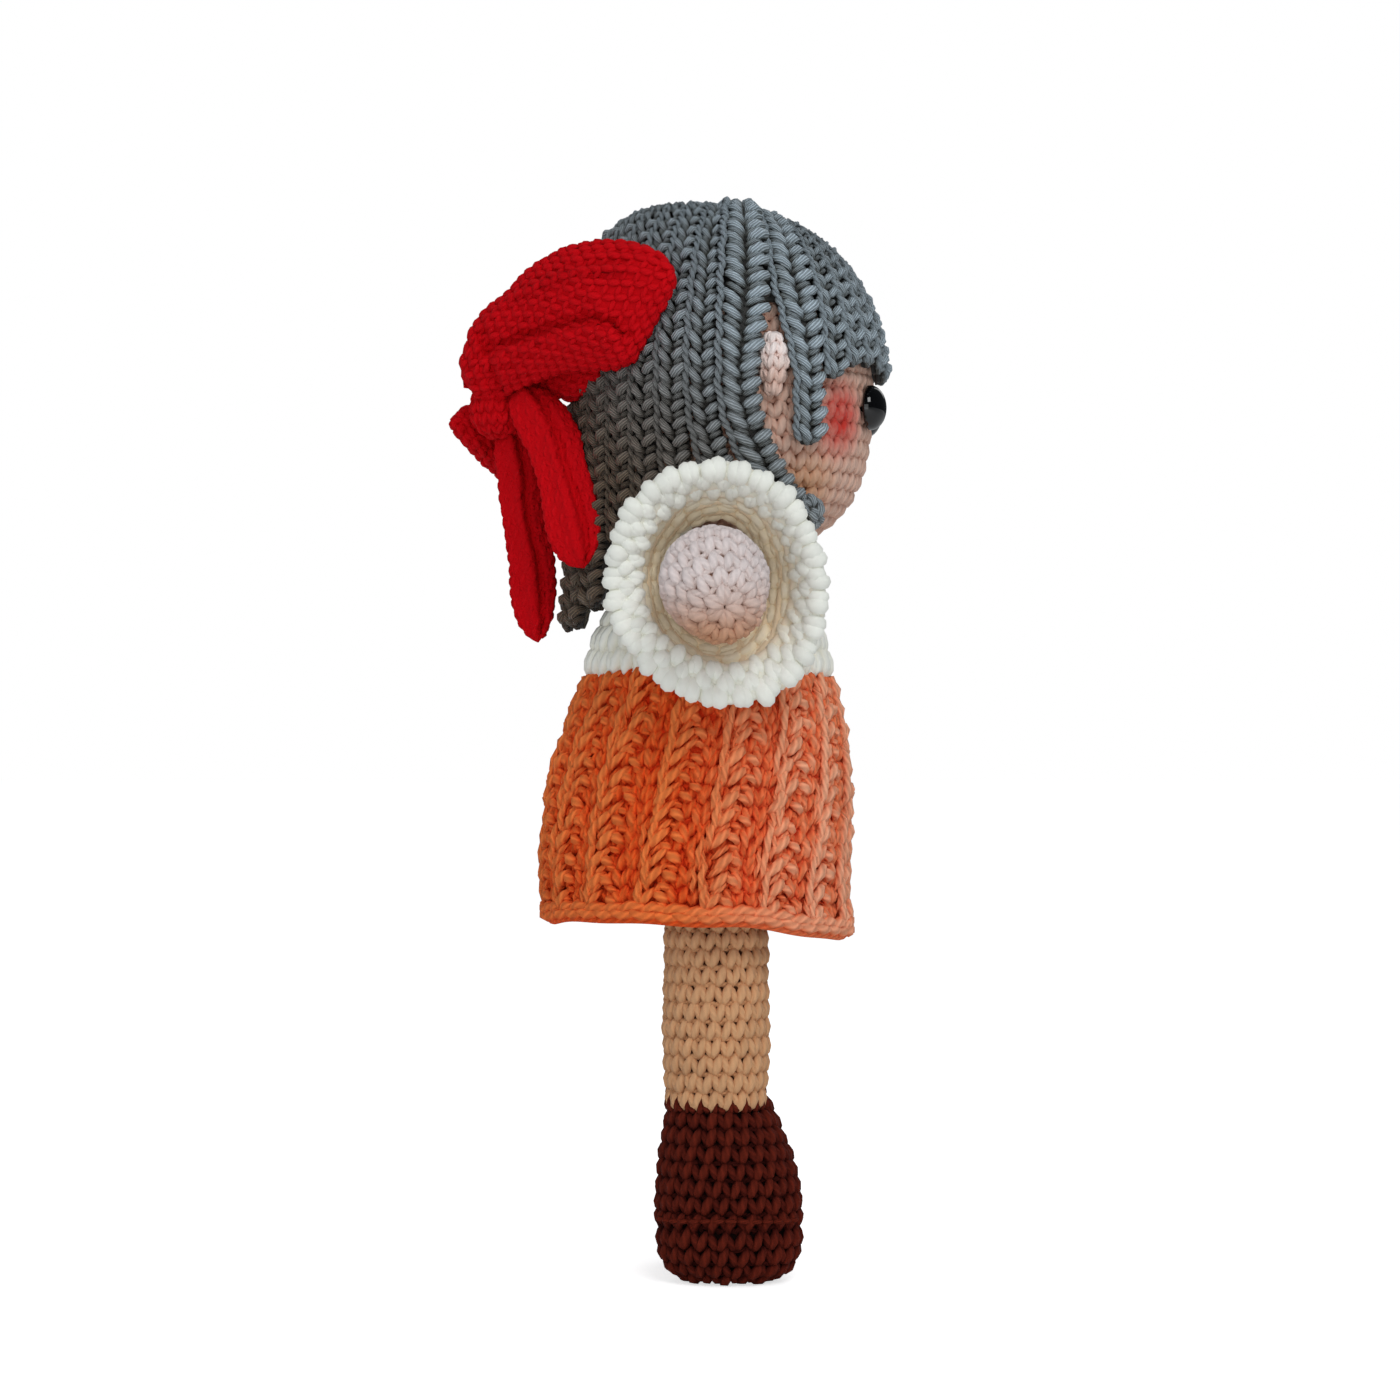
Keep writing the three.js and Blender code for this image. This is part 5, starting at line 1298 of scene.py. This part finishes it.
bowSize = {"knot": (-58.0, 0.0, 233.0), "knotSize": (16.0, 17.0, 16.0), "pitch": 3.4, "yarn": 1.05,
           "nearTail": (13.4, 6.4), "farTail": (11.2, 5.0),
           "tail": [[.02, .55, .7], [.1, .98, 1], [.25, 1.06, 1], [.4, 1, 1], [.72, 1.1, 1], [.88, .85, .85],
                    [.97, .36, .5]],
           "near": [[.22, -.36, -.26], [.6, -1.05, -1.2], [1.3, -1.42, -2.75]],
           "far": [[.06, 0, -.42], [.1, 0, -1.8], [.6, 0, -3.95]]}


def routeOf(shares, many=300):
    # a smooth curve through places given in shares of the knot's size, read by its length
    places = np.array(bowSize["knot"]) + np.array(shares) * bowSize["knotSize"]
    ends = [2 * places[0] - places[1]], [2 * places[-1] - places[-2]]
    p = np.concatenate([ends[0], places, ends[1]])
    knots = np.concatenate([[0], np.cumsum(np.linalg.norm(np.diff(p, axis=0), axis=1) ** 0.5)])
    t = np.linspace(knots[1], knots[-2], many)
    k = np.clip(np.searchsorted(knots, t, side="right") - 1, 1, len(p) - 3)

    def between(a, b, low, high):
        share = ((t - knots[low]) / (knots[high] - knots[low]))[:, None]
        return a * (1 - share) + b * share

    a1, a2, a3 = (between(p[k + j - 1], p[k + j], k + j - 1, k + j) for j in (0, 1, 2))
    b1, b2 = between(a1, a2, k - 1, k + 1), between(a2, a3, k, k + 2)
    curve = between(b1, b2, k, k + 1)
    length = lengthAlong(curve)
    return length / length[-1], curve


def bandSurface(shares, rows, width, thick, facing, relief):
    # a soft flat band along a route: an ellipse whose width and thickness follow rows, with relief added
    way, curve = routeOf(shares)
    rows = np.array([[0, 0.02, 0.02]] + rows + [[1, 0.02, 0.02]])
    facing = np.array(facing, float)

    def surface(u, v):
        u, v = uvArrays(u, v)
        step = 0.01
        read = lambda x: np.stack([np.interp(x, way, curve[:, k]) for k in range(3)], -1)
        ahead = unit(read(np.clip(v + step, 0, 1)) - read(np.clip(v - step, 0, 1)))
        across = unit(np.cross(ahead, facing))
        out = unit(np.cross(across, ahead))
        turn = 2 * np.pi * u
        swell = relief(u, v)
        broad = width / 2 * readCurve(rows, v, 1)
        deep = thick / 2 * readCurve(rows, v, 2)
        middle = read(v)
        return (middle + out * (deep * np.cos(turn) * swell)[..., None]
                + across * (broad * np.sin(turn) * (1 + 0.3 * (swell - 1)))[..., None])

    return surface


seenLoop = {
    # the high loop as seen from the right, in mm along and across a line from its gathered end: upper
    # and lower edge and thickness of its front layer, then of the layer behind, and its distance out
    "start": (-65.0, 243.0), "way": (0.905, 0.425),
    "front": [[-4.5, 0.6, -2.2, 1.0], [-2.5, 4.0, -6.5, 7.0], [0.5, 7.2, -8.2, 11.0], [4, 11.2, -9.2, 12.5],
              [10, 14.2, -9.2, 13.0], [17.5, 15.8, -9.6, 13.5], [22.5, 18.2, -10.4, 14.0], [28, 19.4, -12.8, 14.0],
              [35, 19.8, -15.6, 13.0], [40, 19.0, -15.8, 12.0], [46.7, 17.0, -11.0, 11.0], [51, 15.0, -7.6, 10.0],
              [55, 12.2, -4.9, 8.5], [58.3, 8.6, -2.2, 6.5], [60.2, 4.6, 0.6, 4.0], [60.9, 3.0, 2.0, 1.5]],
    "rear": [[5.0, -5.0, -7.0, 1.0], [7.0, -3.0, -9.0, 5.0], [14.0, -3.0, -12.5, 8.0], [17.5, -4.0, -16.0, 9.0],
             [20.5, -4.0, -18.2, 9.0], [28, -4.0, -18.3, 10.0], [35, -2.0, -17.6, 10.0], [40, 0.0, -16.0, 9.0],
             [46.7, 2.0, -11.0, 8.0], [52, 2.0, -7.0, 5.0], [54, 0.0, -4.0, 1.5]],
    "out": [[-5, -3], [8, -8], [21, -19], [37, -33], [61, -43]]}
seenLowLoop = {
    "start": (-71.8, 230.8), "way": (0.812, -0.583),
    "front": [[0, 0.8, -0.8, 1.0], [1.0, 3.2, -1.6, 4.0], [3.5, 7.0, -2.6, 7.5], [8, 10.5, -3.8, 10.0],
              [14, 11.5, -5.0, 11.5], [20, 10.0, -5.6, 12.0], [26, 8.0, -5.4, 11.0], [32, 6.0, -4.4, 8.0],
              [36, 3.6, -2.6, 5.0], [37.5, 1.4, -0.8, 1.0]],
    "out": [[0, 6], [10, 11.5], [25, 26], [38, 35]]}


def loopLayer(view, layer, behind, relief):
    # an ellipse between two edges at each place along the line; nearer points draw in to the view's
    # middle, because the edges are those seen from a metre away
    rows = np.array(view[layer], float)
    ahead = np.array(view["way"])
    upward = np.array([-ahead[1], ahead[0]])
    out = np.array(view["out"], float)

    def surface(u, v):
        u, v = uvArrays(u, v)
        s = mix(rows[0, 0], rows[-1, 0], v)
        high, low, thick = (np.interp(s, rows[:, 0], rows[:, k]) for k in (1, 2, 3))
        turn = 2 * np.pi * u
        d = (high + low) / 2 - (high - low) / 2 * np.sin(turn)
        front = thick / 2 * np.cos(turn) + relief(s, d) * smoothStep((np.cos(turn) + 0.1) / 0.4)
        y = np.interp(s, out[:, 0], out[:, 1]) + behind - front
        seen = np.array(view["start"]) + s[..., None] * ahead + d[..., None] * upward
        middle = np.array([viewSize["x"], viewSize["height"]])
        flat = middle + (seen - middle) * (1 + y / viewSize["distance"])[..., None]
        return np.stack([flat[..., 0], y, flat[..., 1]], -1)

    return surface


def frontRelief(s, d):
    # two soft folds along the loop, the lower with a full lip under it, and gathers at the knot's end
    first = np.interp(s, [0, 18, 32, 51, 61], [9.0, 14.2, 14.0, 7.6, 3.9])
    second = np.interp(s, [2, 15, 26, 34, 38.4, 41], [3.4, 1.8, 0.3, -1.4, -4.6, -9.4])
    fade = smoothStep((s - 3) / 8) * smoothStep((56 - s) / 12)
    fold = 1.5 * np.exp(-((d - first) / 1.1) ** 2) - 1.5 * smoothStep((d - first - 0.6) / 1.0)
    shown = smoothStep((44 - s) / 7) * smoothStep((s - 2) / 5)
    lip = 3.6 * smoothStep((second - d) / 1.2 + 0.5) - 2.2 * np.exp(-((d - second - 1.6) / 1.3) ** 2)
    groove = -2.6 * np.exp(-((s - 5.0 - 0.12 * d) / 1.3) ** 2) * smoothStep((11 - np.abs(d - 1)) / 3)
    gathers = 0.45 * np.cos(d * 1.25) * smoothStep((26 - s) / 18)
    return fold * fade + lip * shown + groove + gathers


def tailRelief(u, v):
    # four soft ridges round the tail, a slight wave, and one deep crease beside a sharper ridge
    turn = (u + 0.5) % 1 - 0.5
    return 1 + 0.12 * np.cos(2 * np.pi * turn * 4 + 0.4) + 0.06 * np.sin(9 * v + 3 * turn) \
        - 0.8 * np.exp(-((turn + 0.06 - 0.02 * np.sin(5 * v)) / 0.026) ** 2) \
        + 0.3 * np.exp(-((turn - 0.01) / 0.04) ** 2)


def bowPart(surface, rows, sides, pitch=bowSize["pitch"], yarn=bowSize["yarn"]):
    # cloth under rows of small tight stitches
    cloth = clothOver(surface, -0.3, rows, sides, low=0.002, high=0.998, lift=0.75, rough=0.12)
    cells = stitchRows(surface, pitch, pitch, 0.02, 0.985, least=6)
    legs = singleCrochet(yarn, 0.3, bar=False)
    return joined([cloth, stitchesOver(surface, cells, legs, yarn * 1.1, yarn * 0.8, 0.05)])


def tailSurface(route, size, rows):
    # a band along its route, shifted by an offset read from rows of [share of the length, x, y, z]
    band = bandSurface(bowSize[route], bowSize["tail"], *bowSize[size], (0, -1, 0), tailRelief)
    rows = np.array(rows, float)
    return lambda u, v: band(u, v) + np.stack([np.interp(np.asarray(v, float), rows[:, 0], rows[:, k])
                                               for k in (1, 2, 3)], -1)


frontLayer = loopLayer(seenLoop, "front", 0.0, frontRelief)
rearLayer = loopLayer(seenLoop, "rear", 9.5, lambda s, d: 0.3 * np.cos(d * 1.1 + 0.2 * s))
lowLoop = loopLayer(seenLowLoop, "front", 0.0, lambda s, d: 0.8 * np.cos(d * 0.9 + 0.1 * s + 1) * smoothStep(s / 9))
nearTail = tailSurface("near", "nearTail", [[0, 2.4, -2.5, 9.0], [0.12, 5.6, -2.5, 6.0], [0.25, 8.0, -1.0, 2.6],
                                            [0.5, 7.0, 0, 0.8], [1, 2.3, 0, 0]])
farTail = tailSurface("far", "farTail", [[0, 1.5, 0, 1.0], [0.2, 4.4, 0, 0], [0.6, 4.4, 0, 0], [0.85, 1.6, 0, 0],
                                         [1, 0.4, 0, 0]])


def knotSurface(u, v):
    # a wrapped band: an upright ellipsoid with folds that run over it
    u, v = uvArrays(u, v)
    slope, turn = np.pi * (v - 0.5), 2 * np.pi * u
    folds = 1 + 0.05 * np.cos(4 * turn + 2 * slope) * np.cos(slope)
    width = np.maximum(np.cos(slope), 1e-6) ** 0.75
    depth, side, tall = (x / 2 for x in bowSize["knotSize"])
    return np.array(bowSize["knot"]) + np.stack(
        [depth * width * np.cos(turn) * folds, side * width * np.sin(turn) * folds, tall * np.sin(slope)], -1)


highLoop = joined([bowPart(frontLayer, 150, 170), bowPart(rearLayer, 90, 110)])
for name, shape, node in (
        ("bowHighLoop", highLoop, "bow_loop_right"),
        ("bowLowLoop", bowPart(lowLoop, 120, 130), "bow_loop_left"),
        ("bowKnot", bowPart(knotSurface, 60, 70, 3.3, 0.95), "bow_knot")):
    pieceOf(name, shape, "bow", "head", node)
for name, surface, side, flat in (("bowNearTail", nearTail, "right", (0.016, 0.050)),
                                  ("bowFarTail", farTail, "left", (0.0115, 0.057))):
    cloth = clothOver(surface, -0.1, 110, 64, low=0.002, high=0.998, lift=0.8, rough=0.12)
    cells = stitchRows(surface, 3.1, 3.1, 0.03, 0.97, least=6)
    trim = stitchesOver(surface, cells, singleCrochet(0.9, 0.2, bar=False), 1.0, 0.92, 0.03)
    cloth = pieceOf(name, cloth, "bow", "bow_tail_" + side, "bow_tail_" + side)
    trim = pieceOf(name + "Stitches", trim, "bow", "bow_tail_" + side, "bow_tail_" + side)
print("bow made")

buttonSize = {"radius": 4.1, "thick": 2.8, "stand": 3.4, "height": 183.0, "seat": -25.13, "tilt": math.radians(15),
              "loop": (12.0, 6.6, 2.0)}


def buttonPart():
    # a domed button on a shank, with a rolled rim round a shallow dish
    size = buttonSize
    away = np.array([-math.cos(size["tilt"]), 0, math.sin(size["tilt"])])
    r, low, high = size["radius"], size["stand"], size["stand"] + size["thick"]
    corners = [[0.05, 0.6], [1.4, 0.6], [1.4, low - 0.2], [1.9, low], [r - 0.5, low], [r, low + 0.7],
               [r, high - 1.3], [r - 0.5, high - 0.35], [r - 1.2, high - 0.4], [r - 1.6, high - 0.8],
               [1.0, high - 0.7], [0.05, high - 0.68]]
    return lathe(softCorners(corners, 0.35, 5), (size["seat"], 0, size["height"]), away, (0, 1, 0))


def buttonLoop():
    # two plies wound round an oval that stands against the blouse
    size = buttonSize
    tall, wide, thick = size["loop"]
    t = 2 * np.pi * np.arange(120) / 120
    tilt = size["tilt"]
    up = np.array([math.sin(tilt), 0, math.cos(tilt)])
    away = np.array([-math.cos(tilt), 0, math.sin(tilt)])
    centre = np.array([size["seat"] - thick / 2 - 0.3, 0, size["height"] - tall / 4])
    ring = np.arange(10) / 10 * 2 * np.pi
    out = unit(np.stack([np.sin(t) / wide, np.cos(t) / tall], 1))
    side = np.array([0, 1, 0])
    oval = (wide - thick) / 2 * np.sin(t)[:, None] * side + (tall - thick) / 2 * np.cos(t)[:, None] * up
    outward = out[:, :1] * side + out[:, 1:] * up
    lumps = 1 + 0.12 * np.sin(26 * t)[:, None] * np.cos(ring)[None] + 0.08 * np.sin(26 * t)[:, None]
    radius = thick / 2 * lumps
    points = (centre + oval[:, None] + radius[..., None] * (np.cos(ring)[:, None] * outward[:, None]
              + np.sin(ring)[:, None] * away))
    return gridPart(points, looped=True, lift=0.8, uvScale=(1, 28))


pieceOf("backButton", buttonPart(), "gloss", "torso", "back_button")
pieceOf("buttonLoop", buttonLoop(), "white", "torso", "button_loop")
print("fastening made")

lightSize = {"key": (0.30, -0.95, 0.95), "keyPower": 4.4, "keySpan": 0.5, "fill": (-0.2, -1.1, 0.1),
             "fillPower": 2.6, "rim": (0.3, 0.9, 0.8), "rimPower": 1.6,
             "fillSpan": 0.8, "rimSpan": 0.7, "world": 0.44, "mirror": 0.06}


def areaLamp(name, place, power, span, target=(0.0, 0.0, 0.15)):
    # a square lamp that looks at the doll's middle
    lamp = bpy.data.lights.new(name, "AREA")
    lamp.energy, lamp.size = power, span
    holder = placed(name, lamp)
    holder.location = place
    holder.rotation_euler = (Vector(target) - Vector(place)).to_track_quat("-Z", "Y").to_euler()


areaLamp("keySoftbox", lightSize["key"], lightSize["keyPower"], lightSize["keySpan"])
areaLamp("fillSoftbox", lightSize["fill"], lightSize["fillPower"], lightSize["fillSpan"])
areaLamp("backSoftbox", lightSize["rim"], lightSize["rimPower"], lightSize["rimSpan"])
world = bpy.data.worlds.new("paleRoom")
bpy.context.scene.world = world
world.use_nodes = True
nodes, links = world.node_tree.nodes, world.node_tree.links
nodes.clear()
path = nodes.new("ShaderNodeLightPath")


def background(tone, strength):
    # even light of one colour from all round
    node = nodes.new("ShaderNodeBackground")
    node.inputs[0].default_value, node.inputs[1].default_value = (*tone, 1.0), strength
    return node.outputs[0]


def chosen(ray, other, own):
    # one background for rays of the named kind, another for the rest
    node = nodes.new("ShaderNodeMixShader")
    for source, socket in zip((path.outputs[ray], other, own), node.inputs):
        links.new(source, socket)
    return node.outputs[0]


room = background((0.94, 0.97, 1.0), lightSize["world"])
reflected = background((0.8, 0.9, 1.0), lightSize["mirror"])
lit = chosen("Is Camera Ray", chosen("Is Glossy Ray", room, reflected), background((1.0, 1.0, 1.0), 1.0))
links.new(lit, nodes.new("ShaderNodeOutputWorld").inputs[0])

floorGraph = Graph("paleFloor")
floorPath = floorGraph.make("ShaderNodeLightPath")
floorShade = floorGraph.mixed(floorGraph.noise(floorGraph.place(), 30.0), colour(243, 243, 243), colour(248, 248, 248))
floorLook = floorGraph.make("ShaderNodeBsdfPrincipled", None, {
    "Base Color": floorShade, "Roughness": 0.9, "Emission Color": (1.0, 1.0, 1.0, 1.0),
    "Emission Strength": floorPath * 0.66})
floorGraph.make("ShaderNodeOutputMaterial", None, {"Surface": floorLook})
floorMesh = bpy.data.meshes.new("floor")
span = 6.0
floorMesh.from_pydata([(-span, -span, 0), (span, -span, 0), (span, span, 0), (-span, span, 0)], [], [(0, 1, 2, 3)])
floorMesh.materials.append(floorGraph.material)
placed("floor", floorMesh)

lens = bpy.data.cameras.new("photoCamera")
lens.sensor_width = viewSize["sensor"]
lens.lens = viewSize["sensor"] * viewSize["distance"] / viewSize["frame"]
lens.clip_end = 50.0
camera = placed("photoCamera", lens)
camera.location = ((viewSize["x"] + legLineX) / 1000, -viewSize["distance"] / 1000, viewSize["height"] / 1000)
camera.rotation_euler = (math.pi / 2, 0, 0)
bpy.context.scene.camera = camera
bpy.context.scene.view_settings.view_transform = "Standard"
